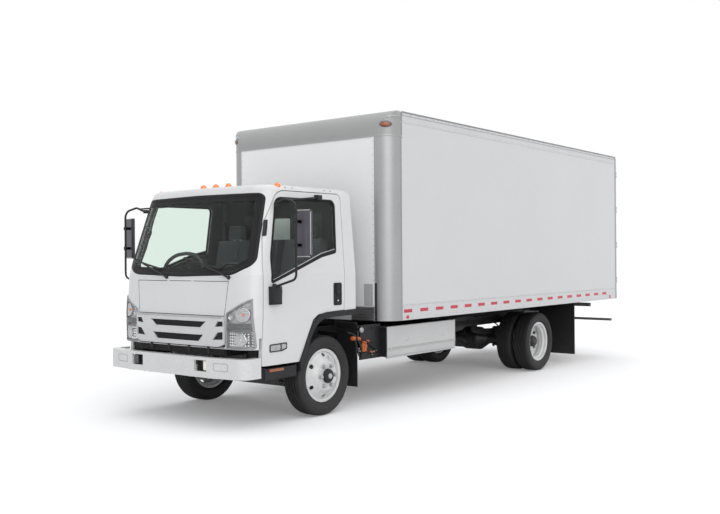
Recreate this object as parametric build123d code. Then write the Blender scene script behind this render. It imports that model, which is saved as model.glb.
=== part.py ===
"""Box truck: tilting cab on a ladder frame with a dry van body. Millimetres, +Z up.

While the pieces are made, Y = 0 is the front axle, +Y runs to the rear and +X is the
left (driver's) side. write() then moves every piece so that the origin lies on the
ground, midway along the whole truck.
"""

from build123d import *
from math import cos, hypot, radians, sin, sqrt, tan
import os

# ---- driving dimensions: running gear ----
WHEELBASE = 4470
TYRE_RADIUS = 405
TYRE_WIDTH = 226
RIM_FLANGE_RADIUS = 267
RIM_FLANGE_HEIGHT = 16.5
RIM_FLANGE_WIDTH = 7
RIM_HALF_WIDTH = 84
RIM_WELL_DEPTH = 26
RIM_WALL = 9
DISC_OFFSET = 132
NAVE_RADIUS = 150
NAVE_BORE = 50
HAND_HOLES = 6
HAND_HOLE_RADIUS = 24
STUDS = 6
STUD_CIRCLE = 222.25
STUD_RADIUS = 10
FRONT_TYRE_X = 832
REAR_MATING_X = 828
KINGPIN_X = 700
KINGPIN_RADIUS = 19
SPINDLE_RADIUS = 32
PIN_CLEARANCE = 0.3
MOVING_GAP = 6
STEERING_ARM_Y = 175
STUD_REACH = 36

# ---- driving dimensions: chassis ----
RAIL_OUTER_X = 425
RAIL_FLANGE = 62
RAIL_HEIGHT = 195
RAIL_WALL = 8
RAIL_TOP_Z = 838
RAIL_FRONT_Y = -1045
RAIL_REAR_INSET = 141
CROSSMEMBER_YS = (-880, -560, 500, 1300, 2100, 2900, 3700, 5150, 5900)
CROSSMEMBER_DEPTH = 110
CROSSMEMBER_LENGTH = 60

# ---- driving dimensions: cab ----
CAB_BACK_Y = 430
CAB_LOW_Z = 745
CAB_TOP_Z = 2305
CAB_WALL = 42
CAB_FRONT_WALL = 90
CAB_CROWN = 20
CAB_ROOF_RADIUS = 85
DOOR_WALL = 50
DOOR_GAP = 7
CAB_FLOOR_CLEARANCE = 12
DECK_Z = 1135
FLOOR_THICK = 25
SILL_X = 862
TILT_PIVOT_Y = -960
TILT_PIVOT_Z = 700
TILT_PIN_RADIUS = 20
GLASS_THICK = 6
STEERING_WHEEL_CENTRE = (430, -640, 1430)
COLUMN_LEAN = 35
COLUMN_LENGTH = 210
STEERING_HUB_HEIGHT = 40
MIRROR_TUBE = (1262, -775)
MIRROR_TUBE_RADIUS = 11
MIRROR_TOP = (975, -742, 2106)
MIRROR_HEAD_WIDTH = 150
MIRROR_HEAD_Z = (1603, 2040)

# ---- driving dimensions: bumper and lamps ----
BUMPER_FRONT_Y = -1240
BUMPER_HALF_WIDTH = 1000
BUMPER_LOW_Z = 487
BUMPER_TOP_Z = 674
BUMPER_BACK_Y = -974
BUMPER_WALL = 26
BUMPER_LEDGE = 60

# ---- driving dimensions: van body ----
BOX_HALF_WIDTH = 1219
BOX_FRONT_Y = 745
BOX_LENGTH = 6096
BOX_LOW_Z = 913
BOX_TOP_Z = 3182
BOX_WALL = 25
POST_RADIUS = 200
CAP_RADIUS = 230
CAP_DEPTH = 277
ROOF_EDGE_RADIUS = 60
TOP_RAIL_WIDTH = 90
BOX_CROSS_BEAMS = 20
BOTTOM_RAIL_TOP_Z = 1084
TOP_RAIL_DEPTH = 132
REAR_FRAME_DEPTH = 62
SIDE_COVER_INSET = 137
REAR_POST_WIDTH = 78
REAR_HEADER_DEPTH = 112
DECK_BOARD_THICK = 35
CARGO_DOOR_THICK = 38
HINGE_PIN_INSET = 14
CARGO_HINGES = 4
HINGE_PIN_STAND_OFF = 24
LOCK_ROD_RADIUS = 13
LOCK_ROD_STAND_OFF = 30

# ---- sizes that follow ----
TYRE_BORE = RIM_FLANGE_RADIUS - RIM_FLANGE_HEIGHT
REAR_AXLE_Y = WHEELBASE
STEERING_ARM_X = KINGPIN_X
BOX_REAR_Y = BOX_FRONT_Y + BOX_LENGTH
CAP_LOW_Z = BOX_TOP_Z - CAP_DEPTH
TOP_RAIL_LOW_Z = BOX_TOP_Z - TOP_RAIL_DEPTH
REAR_HEADER_LOW_Z = BOX_TOP_Z - REAR_HEADER_DEPTH
HINGE_PIN_X = BOX_HALF_WIDTH - HINGE_PIN_INSET
RAIL_REAR_Y = BOX_REAR_Y - RAIL_REAR_INSET
REAR_END_Y = BOX_REAR_Y + LOCK_ROD_STAND_OFF + LOCK_ROD_RADIUS
MID_Y = (BUMPER_FRONT_Y + REAR_END_Y) / 2
RAIL_LOW_Z = RAIL_TOP_Z - RAIL_HEIGHT
FLOOR_Z = RAIL_TOP_Z + CAB_FLOOR_CLEARANCE + FLOOR_THICK
DECK_LOW_Z = DECK_Z - FLOOR_THICK
SUBFRAME_TOP_Z = BOX_LOW_Z + 76
DECK_TOP_Z = SUBFRAME_TOP_Z + DECK_BOARD_THICK
AXLE_Z = TYRE_RADIUS
STEERING_ARM_Z = AXLE_Z - 92
TIE_ROD_EYE = 28
TIE_ROD_Z = STEERING_ARM_Z - MOVING_GAP - TIE_ROD_EYE / 2
SIDES = {"left": 1, "right": -1}


# ---- shape helpers ----
def block(x, y, z):
    """A box from its low and high limits along each axis."""
    size = (x[1] - x[0], y[1] - y[0], z[1] - z[0])
    centre = ((x[0] + x[1]) / 2, (y[0] + y[1]) / 2, (z[0] + z[1]) / 2)
    return Pos(*centre) * Box(*size)


def rounded(corners):
    """A closed outline through (a, b, radius) corners, in a plane's own axes."""
    edges = []
    arcs = []
    count = len(corners)
    turns = [corners[i - 1][0] * corners[i][1] - corners[i][0] * corners[i - 1][1] for i in range(count)]
    if sum(turns) < 0:
        corners = corners[::-1]
    for i, (a, b, r) in enumerate(corners):
        pa, pb = corners[i - 1][:2]
        na, nb = corners[(i + 1) % count][:2]
        back = hypot(pa - a, pb - b)
        ahead = hypot(na - a, nb - b)
        u = ((pa - a) / back, (pb - b) / back)
        v = ((na - a) / ahead, (nb - b) / ahead)
        if r <= 0:
            arcs.append(((a, b), None, (a, b)))
            continue
        half_cos = sqrt((1 + u[0] * v[0] + u[1] * v[1]) / 2)
        half_sin = sqrt(1 - half_cos**2)
        reach = r * half_cos / half_sin
        w = (u[0] + v[0], u[1] + v[1])
        long = hypot(*w)
        deep = r / half_sin - r
        middle = (a + w[0] / long * deep, b + w[1] / long * deep)
        start = (a + u[0] * reach, b + u[1] * reach)
        end = (a + v[0] * reach, b + v[1] * reach)
        arcs.append((start, middle, end))
    for i, (start, middle, end) in enumerate(arcs):
        if middle:
            edges.append(ThreePointArc(start, middle, end))
        following = arcs[(i + 1) % count][0]
        if hypot(following[0] - end[0], following[1] - end[1]) > 1e-6:
            edges.append(Line(end, following))
    return Wire(edges)


def corners_of(points):
    """Corners with no radius where a point gives none."""
    return [(*p, 0) if len(p) == 2 else p for p in points]


def prism_x(points, x):
    """A (Y, Z) outline, carried along X."""
    plane = Plane(origin=(x[0], 0, 0), x_dir=(0, 1, 0), z_dir=(1, 0, 0))
    return extrude(plane * make_face(rounded(corners_of(points))), x[1] - x[0])


def prism_y(points, y):
    """An (X, Z) outline, carried along Y."""
    plane = Plane(origin=(0, y[1], 0), x_dir=(1, 0, 0), z_dir=(0, -1, 0))
    return extrude(plane * make_face(rounded(corners_of(points))), y[1] - y[0])


def prism_z(points, z):
    """An (X, Y) outline, carried along Z."""
    plane = Plane(origin=(0, 0, z[0]))
    return extrude(plane * make_face(rounded(corners_of(points))), z[1] - z[0])


def turned(points, x=0.0, y=0.0, z=0.0):
    """An (along X, radius) outline turned about an X line through the given place."""
    plane = Plane(origin=(x, y, z), x_dir=(1, 0, 0), z_dir=(0, -1, 0))
    face = plane * make_face(rounded(corners_of(points)))
    return revolve(face, Axis((x, y, z), (1, 0, 0)))


def rod_x(x, y, z, r):
    return Pos((x[0] + x[1]) / 2, y, z) * Rot(0, 90, 0) * Cylinder(r, x[1] - x[0])


def rod_z(x, y, z, r):
    return Pos(x, y, (z[0] + z[1]) / 2) * Cylinder(r, z[1] - z[0])


def tube_path(points, radius, bends):
    """A round bar along straight runs with an arc at each corner."""
    path = FilletPolyline(*points, radius=bends)
    start = Plane(origin=points[0], z_dir=Vector(*points[1]) - Vector(*points[0]))
    return sweep(start * Circle(radius), path=path)


def mirrored(shape):
    return mirror(shape, Plane.YZ)


def both(shape):
    """The shape and its mirror image, as solids that don't touch."""
    return Compound(children=[*shape.solids(), *mirrored(shape).solids()])


def sided(shape, side):
    return shape if side == "left" else mirrored(shape)


pieces = {}


def write(name, shape):
    solids = [s for s in shape.solids() if s.volume > 1]
    placed = [s.moved(Location((0, -MID_Y, 0))) for s in solids]
    pieces[name] = placed[0] if len(placed) == 1 else Compound(children=placed)


# ---- wheels ----
def tyre(x, y):
    """One tyre whose middle plane is at x: tread with round shoulders, bulged walls."""
    half = TYRE_WIDTH / 2
    tread = half - 25
    depth = TYRE_RADIUS - RIM_FLANGE_RADIUS
    bead = RIM_HALF_WIDTH - RIM_FLANGE_WIDTH
    side = [
        (tread, TYRE_RADIUS, 22),
        (half, RIM_FLANGE_RADIUS + 0.76 * depth, 45),
        (half, RIM_FLANGE_RADIUS + 0.37 * depth, 45),
        (RIM_HALF_WIDTH - 2, RIM_FLANGE_RADIUS + 5, 4),
        (bead - 0.6, RIM_FLANGE_RADIUS + 1),
        (bead - 4.6, TYRE_BORE),
    ]
    outline = side + [(-a, *r) for a, *r in reversed(side)]
    return turned(outline, x, y, AXLE_Z)


def rim(x, y, face):
    """A steel wheel; its nave lies DISC_OFFSET from the middle, on the side of face."""
    edge = RIM_HALF_WIDTH
    bead = edge - RIM_FLANGE_WIDTH
    top = RIM_FLANGE_RADIUS
    seat = TYRE_BORE - 0.5
    well = seat - RIM_WELL_DEPTH
    barrel = [
        (-edge, top), (-bead, top), (4 - bead, seat), (34 - edge, seat - 3), (50 - edge, well),
        (edge - 64, well), (edge - 48, seat - 3), (bead - 4, seat), (bead, top), (edge, top),
        (edge, top - RIM_WALL), (edge - 6, seat - 8), (edge - 46, seat - 3 - RIM_WALL),
        (edge - 62, well - RIM_WALL), (48 - edge, well - RIM_WALL),
        (32 - edge, seat - 3 - RIM_WALL), (6 - edge, seat - 8), (-edge, top - RIM_WALL),
    ]
    root = seat - 3 - RIM_WALL / 2
    disc = [
        (edge - 42, root), (edge - 22, root), (DISC_OFFSET - 28, NAVE_RADIUS + 28, 20),
        (DISC_OFFSET, NAVE_RADIUS - 4, 10), (DISC_OFFSET, NAVE_BORE), (DISC_OFFSET - RIM_WALL, NAVE_BORE),
        (DISC_OFFSET - RIM_WALL, NAVE_RADIUS - 12, 10), (DISC_OFFSET - 38, NAVE_RADIUS + 20, 10),
        (edge - 30, root - 13), (edge - 42, root - 13),
    ]
    barrel = [(a * face, r) for a, r in barrel]
    disc = [(a * face, *r) for a, *r in disc]
    wheel = turned(barrel, x, y, AXLE_Z) + turned(disc, x, y, AXLE_Z)
    cone_x = (DISC_OFFSET - 28 + edge - 22) / 2
    cone_r = (NAVE_RADIUS + 28 + root) / 2
    for i in range(HAND_HOLES):
        centre = Location((x + face * cone_x, y, AXLE_Z), (360 / HAND_HOLES * i, 0, 0))
        lean = Location((0, 0, cone_r), (0, face * 55, 0))
        wheel -= centre * lean * Cylinder(HAND_HOLE_RADIUS, 60)
    return wheel


def stud_ring(x, y, reach):
    ring = []
    for i in range(STUDS):
        turn = radians(360 / STUDS * (i + 0.5))
        across = STUD_CIRCLE / 2 * sin(turn)
        up = STUD_CIRCLE / 2 * cos(turn)
        ring.append(rod_x((x, x + reach), y + across, AXLE_Z + up, STUD_RADIUS + 6))
    return ring


def front_rim():
    x = FRONT_TYRE_X
    face_x = x + DISC_OFFSET
    wheel = rim(x, 0, 1)
    hub = turned([
        (772, SPINDLE_RADIUS + PIN_CLEARANCE), (772, 165), (804, 165), (804, 85),
        (face_x - 30, 85), (face_x - 30, 135), (face_x - RIM_WALL, 135),
        (face_x - RIM_WALL, 72), (face_x + 34, 66, 8), (face_x + 34, 0),
        (face_x + 8, 0), (face_x + 8, SPINDLE_RADIUS + PIN_CLEARANCE),
    ], 0, 0, AXLE_Z)
    wheel += hub
    for stud in stud_ring(face_x - 1, 0, STUD_REACH):
        wheel += stud
    return wheel


def rear_rims():
    y = REAR_AXLE_Y
    inner_x = REAR_MATING_X - DISC_OFFSET
    outer_x = REAR_MATING_X + DISC_OFFSET
    pair = rim(inner_x, y, 1) + rim(outer_x, y, -1)
    bore = SPINDLE_RADIUS + 18 + PIN_CLEARANCE
    hub = turned([
        (625, bore), (625, 195), (770, 195), (770, 135), (REAR_MATING_X - RIM_WALL, 135),
        (REAR_MATING_X - RIM_WALL, 80), (REAR_MATING_X + 130, 74), (REAR_MATING_X + 160, 60, 10),
        (REAR_MATING_X + 160, 0), (REAR_MATING_X + 150, 0), (REAR_MATING_X + 150, bore),
    ], 0, y, AXLE_Z)
    pair += hub
    for stud in stud_ring(REAR_MATING_X + RIM_WALL - 1, y, STUD_REACH):
        pair += stud
    return pair


# ---- axles, knuckles and steering ----
def knuckle():
    """Left knuckle: fork around the axle's boss, kingpin, spindle and steering arm."""
    post = block((KINGPIN_X + 42, KINGPIN_X + 64), (-62, 62), (STEERING_ARM_Z, AXLE_Z + 92))
    fork = post
    for z in (AXLE_Z - 92, AXLE_Z + 58):
        fork += block((KINGPIN_X, KINGPIN_X + 44), (-36, 36), (z, z + 34))
        fork += rod_z(KINGPIN_X, 0, (z, z + 34), 36)
    fork += rod_z(KINGPIN_X, 0, (AXLE_Z - 92, AXLE_Z + 92), KINGPIN_RADIUS)
    fork += rod_x((KINGPIN_X + 50, FRONT_TYRE_X + DISC_OFFSET + 2), 0, AXLE_Z, SPINDLE_RADIUS)
    arm = prism_z([
        (KINGPIN_X + 44, 20), (KINGPIN_X + 44, 60), (STEERING_ARM_X + 22, STEERING_ARM_Y, 10),
        (STEERING_ARM_X - 22, STEERING_ARM_Y + 16, 10), (STEERING_ARM_X - 22, STEERING_ARM_Y - 22, 10),
        (KINGPIN_X + 28, 20),
    ], (STEERING_ARM_Z, STEERING_ARM_Z + 20))
    arm += rod_z(STEERING_ARM_X, STEERING_ARM_Y, (STEERING_ARM_Z, STEERING_ARM_Z + 20), 22)
    ball = rod_z(STEERING_ARM_X, STEERING_ARM_Y, (TIE_ROD_Z - TIE_ROD_EYE / 2, STEERING_ARM_Z + 1), 9)
    return fork + arm + ball


def tie_rod():
    """Cross rod whose eyes ride on the two steering arms' pins."""
    x = STEERING_ARM_X
    y = STEERING_ARM_Y
    z = TIE_ROD_Z
    bar = rod_x((-x + 10, x - 10), y, z, 13)
    for s in (-1, 1):
        bar += rod_z(s * x, y, (z - TIE_ROD_EYE / 2, z + TIE_ROD_EYE / 2), 22)
        bar -= rod_z(s * x, y, (z - 40, z + 40), 9 + PIN_CLEARANCE)
    return bar


def front_axle():
    """Dropped beam with a kingpin boss at each end and spring pads."""
    low = AXLE_Z - 120
    beam = prism_y([
        (-KINGPIN_X, AXLE_Z - 34), (-560, low + 12, 60), (-470, low - 30, 60), (470, low - 30, 60),
        (560, low + 12, 60), (KINGPIN_X, AXLE_Z - 34), (KINGPIN_X, AXLE_Z + 34),
        (590, AXLE_Z + 22, 40), (480, low + 60, 40), (-480, low + 60, 40),
        (-590, AXLE_Z + 22, 40), (-KINGPIN_X, AXLE_Z + 34),
    ], (-35, 35))
    for s in (-1, 1):
        beam += rod_z(s * KINGPIN_X, 0, (AXLE_Z - 52, AXLE_Z + 52), 34)
        beam -= rod_z(s * KINGPIN_X, 0, (AXLE_Z - 80, AXLE_Z + 80), KINGPIN_RADIUS + PIN_CLEARANCE)
    return beam


def rear_axle():
    """Banjo housing with its tubes and the spindles that carry the twin wheels."""
    housing = turned([
        (-975, 0), (-975, 50), (-618, 50), (-618, 68), (-260, 72), (-120, 165, 60),
        (120, 165, 60), (260, 72), (618, 68), (618, 50), (975, 50), (975, 0),
    ], 0, REAR_AXLE_Y, AXLE_Z)
    nose = Pos(0, REAR_AXLE_Y - 190, AXLE_Z + 20) * Rot(90, 0, 0) * Cone(120, 60, 160)
    return housing + nose


def leaf(y, half_span, eye_z, mid_z, thick, width, x):
    """One curved leaf pack, seen along X as a band between two arcs."""
    top = ThreePointArc((y - half_span, eye_z), (y, mid_z), (y + half_span, eye_z))
    low = ThreePointArc((y + half_span, eye_z - thick * 0.5), (y, mid_z - thick), (y - half_span, eye_z - thick * 0.5))
    ends = [
        Line((y + half_span, eye_z), (y + half_span, eye_z - thick * 0.5)),
        Line((y - half_span, eye_z - thick * 0.5), (y - half_span, eye_z)),
    ]
    plane = Plane(origin=(x - width / 2, 0, 0), x_dir=(0, 1, 0), z_dir=(1, 0, 0))
    return extrude(plane * make_face(Wire([low, ends[1], top, ends[0]])), width)


def leaf_springs():
    """Front and rear packs, each with a hanger at both ends and clamp at the axle."""
    x = RAIL_OUTER_X - 32
    packs = []
    axles = (
        # y, half span, eye z, mid z, thickness, seat z
        (0, 600, 610, AXLE_Z + 16, 62, AXLE_Z - 60),
        (REAR_AXLE_Y, 680, 600, AXLE_Z + 165, 92, AXLE_Z + 72),
    )
    for y, half, eye_z, mid_z, thick, seat_z in axles:
        pack = leaf(y, half, eye_z, mid_z, thick, 64, x)
        for end in (-1, 1):
            at = y + end * (half - 30)
            pack += block((x - 32, x + 32), (at - 30, at + 30), (eye_z - 45, RAIL_LOW_Z))
        pack += block((x - 45, x + 45), (y - 70, y + 70), (seat_z, mid_z + 14))
        packs.append(pack)
    return packs


# ---- chassis ----
def ladder_frame():
    """Two channel rails, crossmembers, cab tilt pins and rear cab supports."""
    channel = [
        (RAIL_OUTER_X, RAIL_LOW_Z), (RAIL_OUTER_X, RAIL_TOP_Z),
        (RAIL_OUTER_X - RAIL_FLANGE, RAIL_TOP_Z),
        (RAIL_OUTER_X - RAIL_FLANGE, RAIL_TOP_Z - RAIL_WALL),
        (RAIL_OUTER_X - RAIL_WALL, RAIL_TOP_Z - RAIL_WALL),
        (RAIL_OUTER_X - RAIL_WALL, RAIL_LOW_Z + RAIL_WALL),
        (RAIL_OUTER_X - RAIL_FLANGE, RAIL_LOW_Z + RAIL_WALL),
        (RAIL_OUTER_X - RAIL_FLANGE, RAIL_LOW_Z),
    ]
    rail = prism_y(channel, (RAIL_FRONT_Y, RAIL_REAR_Y))
    nose_top = TILT_PIVOT_Z + 3
    slope_y = TILT_PIVOT_Y - 50
    rail -= prism_x([
        (TILT_PIVOT_Y - 15, RAIL_TOP_Z + 1), (RAIL_FRONT_Y - 1, RAIL_TOP_Z + 1),
        (RAIL_FRONT_Y - 1, nose_top + RAIL_FRONT_Y - 1 - slope_y), (slope_y, nose_top), (TILT_PIVOT_Y - 15, nose_top),
    ], (0, 500))
    frame = rail + mirrored(rail)
    inner = RAIL_OUTER_X - RAIL_WALL
    mid_z = (RAIL_LOW_Z + RAIL_TOP_Z) / 2
    for y in (*CROSSMEMBER_YS, RAIL_REAR_Y - CROSSMEMBER_LENGTH):
        half = CROSSMEMBER_DEPTH / 2
        frame += block((-inner, inner), (y, y + CROSSMEMBER_LENGTH), (mid_z - half, mid_z + half))
    for s in (-1, 1):
        pin = rod_x((RAIL_OUTER_X - 4, RAIL_OUTER_X + 80), TILT_PIVOT_Y, TILT_PIVOT_Z, TILT_PIN_RADIUS)
        frame += pin if s > 0 else mirrored(pin)
        support = block(
            (RAIL_OUTER_X, RAIL_OUTER_X + 60), (CAB_BACK_Y - CAB_WALL - 66, CAB_BACK_Y - CAB_WALL - MOVING_GAP),
            (RAIL_LOW_Z + 60, DECK_LOW_Z - MOVING_GAP),
        )
        frame += support if s > 0 else mirrored(support)
    return frame


def front_bumper():
    """Crowned channel bumper with wrapped ends, two lamp openings and rail stays."""
    def plan(inset, back):
        y = BUMPER_FRONT_Y + inset
        w = BUMPER_HALF_WIDTH - inset
        return [
            (-w, back), (-w, y + 54, 120 - inset), (-560, y, 900), (560, y, 900),
            (w, y + 54, 120 - inset), (w, back),
        ]
    outer = prism_z(plan(0, BUMPER_BACK_Y), (BUMPER_LOW_Z, BUMPER_TOP_Z))
    hollow = prism_z(plan(BUMPER_WALL, BUMPER_BACK_Y + 50), (BUMPER_LOW_Z - 10, BUMPER_TOP_Z - 22))
    ledge = BUMPER_FRONT_Y + BUMPER_LEDGE
    slot = prism_z(plan(70, BUMPER_BACK_Y + 50), (BUMPER_TOP_Z - 60, BUMPER_TOP_Z + 10))
    slot &= block((-1100, 1100), (ledge, 0), (0, 1000))
    bumper = outer - hollow - slot
    for s in (-1, 1):
        x = sorted((s * 379, s * 547))
        bumper -= block(x, (BUMPER_FRONT_Y - 50, BUMPER_FRONT_Y + 60), (543, 647))
        stay_x = sorted((s * (RAIL_OUTER_X - 95), s * (RAIL_OUTER_X - 50)))
        seat_x = sorted((s * (RAIL_OUTER_X - 95), s * (RAIL_OUTER_X - 10)))
        stay_z = (BUMPER_LOW_Z + 20, BUMPER_TOP_Z - 76)
        bumper += block(stay_x, (BUMPER_FRONT_Y + BUMPER_WALL - 6, RAIL_FRONT_Y + 120), stay_z)
        bumper += block(seat_x, (RAIL_FRONT_Y + 60, RAIL_FRONT_Y + 120), (stay_z[0], RAIL_LOW_Z))
    return bumper


def mud_flaps():
    """Hanging flaps behind each wheel, each on an arm from the rail."""
    flaps = []
    sheets = (
        # y of the flap's front face, inner x, outer x, low z, top z, arm z
        (482, 700, 968, 235, 905, 780),
        (5380, 590, 1165, 150, 880, 790),
    )
    for y, x0, x1, z0, z1, arm_z in sheets:
        flap = block((x0, x1), (y, y + 10), (z0, z1))
        flap += block((RAIL_OUTER_X, x1 - 40), (y + 10, y + 40), (arm_z - 20, arm_z + 20))
        flaps.append(flap)
    return flaps


def underride_bar():
    """Rear guard bar hung from the rails' ends, under the sill's crossmember."""
    half = BOX_HALF_WIDTH - 62
    y = RAIL_REAR_Y + 60
    bar = block((-half, half), (y, y + 40), (560, 598))
    for s in (-1, 1):
        x = sorted((s * (RAIL_OUTER_X - RAIL_FLANGE), s * RAIL_OUTER_X))
        bar += block(x, (RAIL_REAR_Y, y + 30), (560, RAIL_TOP_Z - 10))
    bar += block((-803, 803), (y - 10, y + 40), (RAIL_TOP_Z - 60, RAIL_TOP_Z - 2))
    return bar


def side_equipment():
    """Battery tray with its aluminium cover, and the service plate ahead of it."""
    out = BOX_HALF_WIDTH - SIDE_COVER_INSET
    wall = out - 30
    cover = prism_y([
        (wall + 6, 510), (out - 14, 500), (out, 605), (out, 845), (RAIL_OUTER_X, 845),
        (RAIL_OUTER_X, 815), (wall, 815), (wall, 605),
    ], (865, 2230))
    tray = block((RAIL_OUTER_X, wall), (920, 2180), (560, 780))
    face = out - 82
    plate = block((face - 20, face), (500, 850), (517, 881))
    for y in (560, 760):
        plate += block((RAIL_OUTER_X, face - 15), (y, y + 40), (640, 700))
    return cover + tray, plate


def fuel_tank():
    tank = prism_y([(-1040, 440, 60), (-560, 440, 60), (-560, 790, 60), (-1040, 790, 60)], (950, 2150))
    for y in (1150, 1900):
        tank += block((-600, -RAIL_OUTER_X), (y, y + 60), (560, 700))
    return tank


def exhaust():
    """Canister beside the right rail, its inlet pipe from the engine and its tail."""
    can = Pos(-580, 2800, 600) * Rot(90, 0, 0) * Cylinder(120, 760)
    inlet = tube_path([(-580, 2500, 600), (-580, 2260, 600), (-290, 2260, 560), (-290, 345, 560)], 38, [90, 90])
    tail = tube_path([(-580, 3100, 600), (-580, 3400, 600), (-1040, 3400, 560)], 38, [90])
    hanger = block((-600, -RAIL_OUTER_X), (2700, 2740), (690, 730))
    return can + inlet + tail + hanger


def driveshaft():
    """Two tubes from the gearbox to the axle's nose, with their joints' yokes."""
    end = Vector(0, REAR_AXLE_Y - 265, AXLE_Z + 20)
    middle = Vector(0, 2000, 600)
    start = Vector(0, 320, 620)
    shaft = None
    for a, b in ((start, middle), (middle, end)):
        along = b - a
        tube = Plane(origin=a, z_dir=along) * Cylinder(45, along.length, align=(Align.CENTER, Align.CENTER, Align.MIN))
        shaft = tube if shaft is None else shaft + tube
    shaft += Plane(origin=middle, z_dir=(0, 1, 0)) * Cylinder(75, 70)
    shaft -= block((-100, 100), (0, 330), (400, 900))
    return shaft - rear_axle()


def van_body(inset):
    """The van body's whole outer form, drawn in by inset."""
    w = BOX_HALF_WIDTH - inset
    y0 = BOX_FRONT_Y + inset
    top = BOX_TOP_Z - inset
    low = BOX_LOW_Z - inset
    rear = BOX_REAR_Y + inset
    past = 50
    post = POST_RADIUS - inset
    edge = ROOF_EDGE_RADIUS - inset
    plan = prism_z([(-w, y0, post), (w, y0, post), (w, rear), (-w, rear)], (low - past, top + past))
    side = prism_x([(y0, low), (rear, low), (rear, top), (y0, top, CAP_RADIUS - inset)], (-w - past, w + past))
    front = prism_y([(-w, low - past), (w, low - past), (w, top, edge), (-w, top, edge)], (y0 - past, rear + past))
    return plan & side & front


def van_wall(x, y, z):
    """The stretch of the van body's wall that lies inside a block."""
    return (van_body(0) - van_body(BOX_WALL)) & block(x, y, z)


def van_pieces():
    w = BOX_HALF_WIDTH
    far = w + 10
    front = BOX_FRONT_Y - 10
    over = BOX_TOP_Z + 10
    post_x = w - POST_RADIUS
    post_y = BOX_FRONT_Y + POST_RADIUS
    cap_y = BOX_FRONT_Y + CAP_RADIUS
    frame_y = BOX_REAR_Y - REAR_FRAME_DEPTH
    inner = w - BOX_WALL
    roof_x = w - TOP_RAIL_WIDTH

    write("box_front_wall", van_wall((-post_x, post_x), (front, cap_y), (BOX_LOW_Z, CAP_LOW_Z)))
    write("box_corner_posts", both(van_wall((post_x, far), (front, post_y), (BOX_LOW_Z, CAP_LOW_Z))))
    write("box_front_cap", van_wall((-far, far), (front, cap_y), (CAP_LOW_Z, over)))
    panel = block((inner, w), (post_y, frame_y), (BOTTOM_RAIL_TOP_Z, TOP_RAIL_LOW_Z))
    panel -= block((0, far), (front, cap_y), (CAP_LOW_Z, over))
    write("box_side_panels", both(panel))
    low_rail = block((inner, w), (post_y, frame_y), (BOX_LOW_Z, BOTTOM_RAIL_TOP_Z))
    top_rail = van_wall((roof_x, far), (cap_y, frame_y), (TOP_RAIL_LOW_Z, over))
    write("box_rails", Compound(children=[*both(low_rail).solids(), *both(top_rail).solids()]))
    write("box_roof", block((-roof_x, roof_x), (cap_y, frame_y), (BOX_TOP_Z - BOX_WALL, BOX_TOP_Z)))
    ring = van_body(0) & block((-far, far), (frame_y, BOX_REAR_Y), (BOX_LOW_Z, over))
    open_x = w - REAR_POST_WIDTH
    ring -= block((-open_x, open_x), (frame_y - 10, BOX_REAR_Y + 10), (DECK_TOP_Z, REAR_HEADER_LOW_Z))
    for pin in hinge_pins():
        ring = ring + pin + mirrored(pin)
    write("box_rear_frame", ring)

    floor_y = (BOX_FRONT_Y + BOX_WALL, frame_y)
    deck = block((-inner, inner), (post_y, frame_y), (SUBFRAME_TOP_Z, DECK_TOP_Z))
    deck += block((-post_x, post_x), floor_y, (SUBFRAME_TOP_Z, DECK_TOP_Z))
    write("box_floor", deck)
    sill = block((RAIL_OUTER_X - RAIL_FLANGE, RAIL_OUTER_X), floor_y, (RAIL_TOP_Z, SUBFRAME_TOP_Z))
    under = sill + mirrored(sill)
    step = (frame_y - post_y - 50) / (BOX_CROSS_BEAMS - 1)
    for i in range(BOX_CROSS_BEAMS):
        y = post_y + i * step
        under += block((-inner, inner), (y, y + 45), (BOX_LOW_Z, SUBFRAME_TOP_Z))
    write("box_subframe", under)


def along_door(margin):
    """Even heights up a rear leaf, the outer ones so far in from its ends."""
    low = DECK_TOP_Z + MOVING_GAP + margin
    top = REAR_HEADER_LOW_Z - MOVING_GAP - margin
    return [low + (top - low) / (CARGO_HINGES - 1) * i for i in range(CARGO_HINGES)]


def cargo_door():
    """Left rear leaf with its hinge straps and lock rod."""
    open_x = BOX_HALF_WIDTH - REAR_POST_WIDTH - MOVING_GAP
    y = (BOX_REAR_Y - CARGO_DOOR_THICK, BOX_REAR_Y)
    z = (DECK_TOP_Z + MOVING_GAP, REAR_HEADER_LOW_Z - MOVING_GAP)
    door = block((MOVING_GAP / 2, open_x), y, z)
    pin_y = BOX_REAR_Y + HINGE_PIN_STAND_OFF
    rod_y = BOX_REAR_Y + LOCK_ROD_STAND_OFF
    for at in along_door(180):
        door += block((open_x - 150, HINGE_PIN_X - 6), (BOX_REAR_Y + 8, BOX_REAR_Y + 16), (at - 22, at + 22))
        door += block((open_x - 150, open_x - 10), (BOX_REAR_Y, BOX_REAR_Y + 16), (at - 22, at + 22))
        door += rod_z(HINGE_PIN_X, pin_y, (at - 22, at + 22), 15)
        door -= rod_z(HINGE_PIN_X, pin_y, (at - 40, at + 40), 7 + PIN_CLEARANCE)
    door += rod_z(160, rod_y, (z[0] + 10, z[1] - 10), LOCK_ROD_RADIUS)
    for at in along_door(60):
        door += block((130, 190), (BOX_REAR_Y, rod_y + 6), (at - 20, at + 20))
    door += block((160, 420), (rod_y - 4, rod_y + 8), (z[0] + 520, z[0] + 545))
    door += block((400, 430), (BOX_REAR_Y, rod_y + 8), (z[0] + 505, z[0] + 560))
    return door


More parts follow.
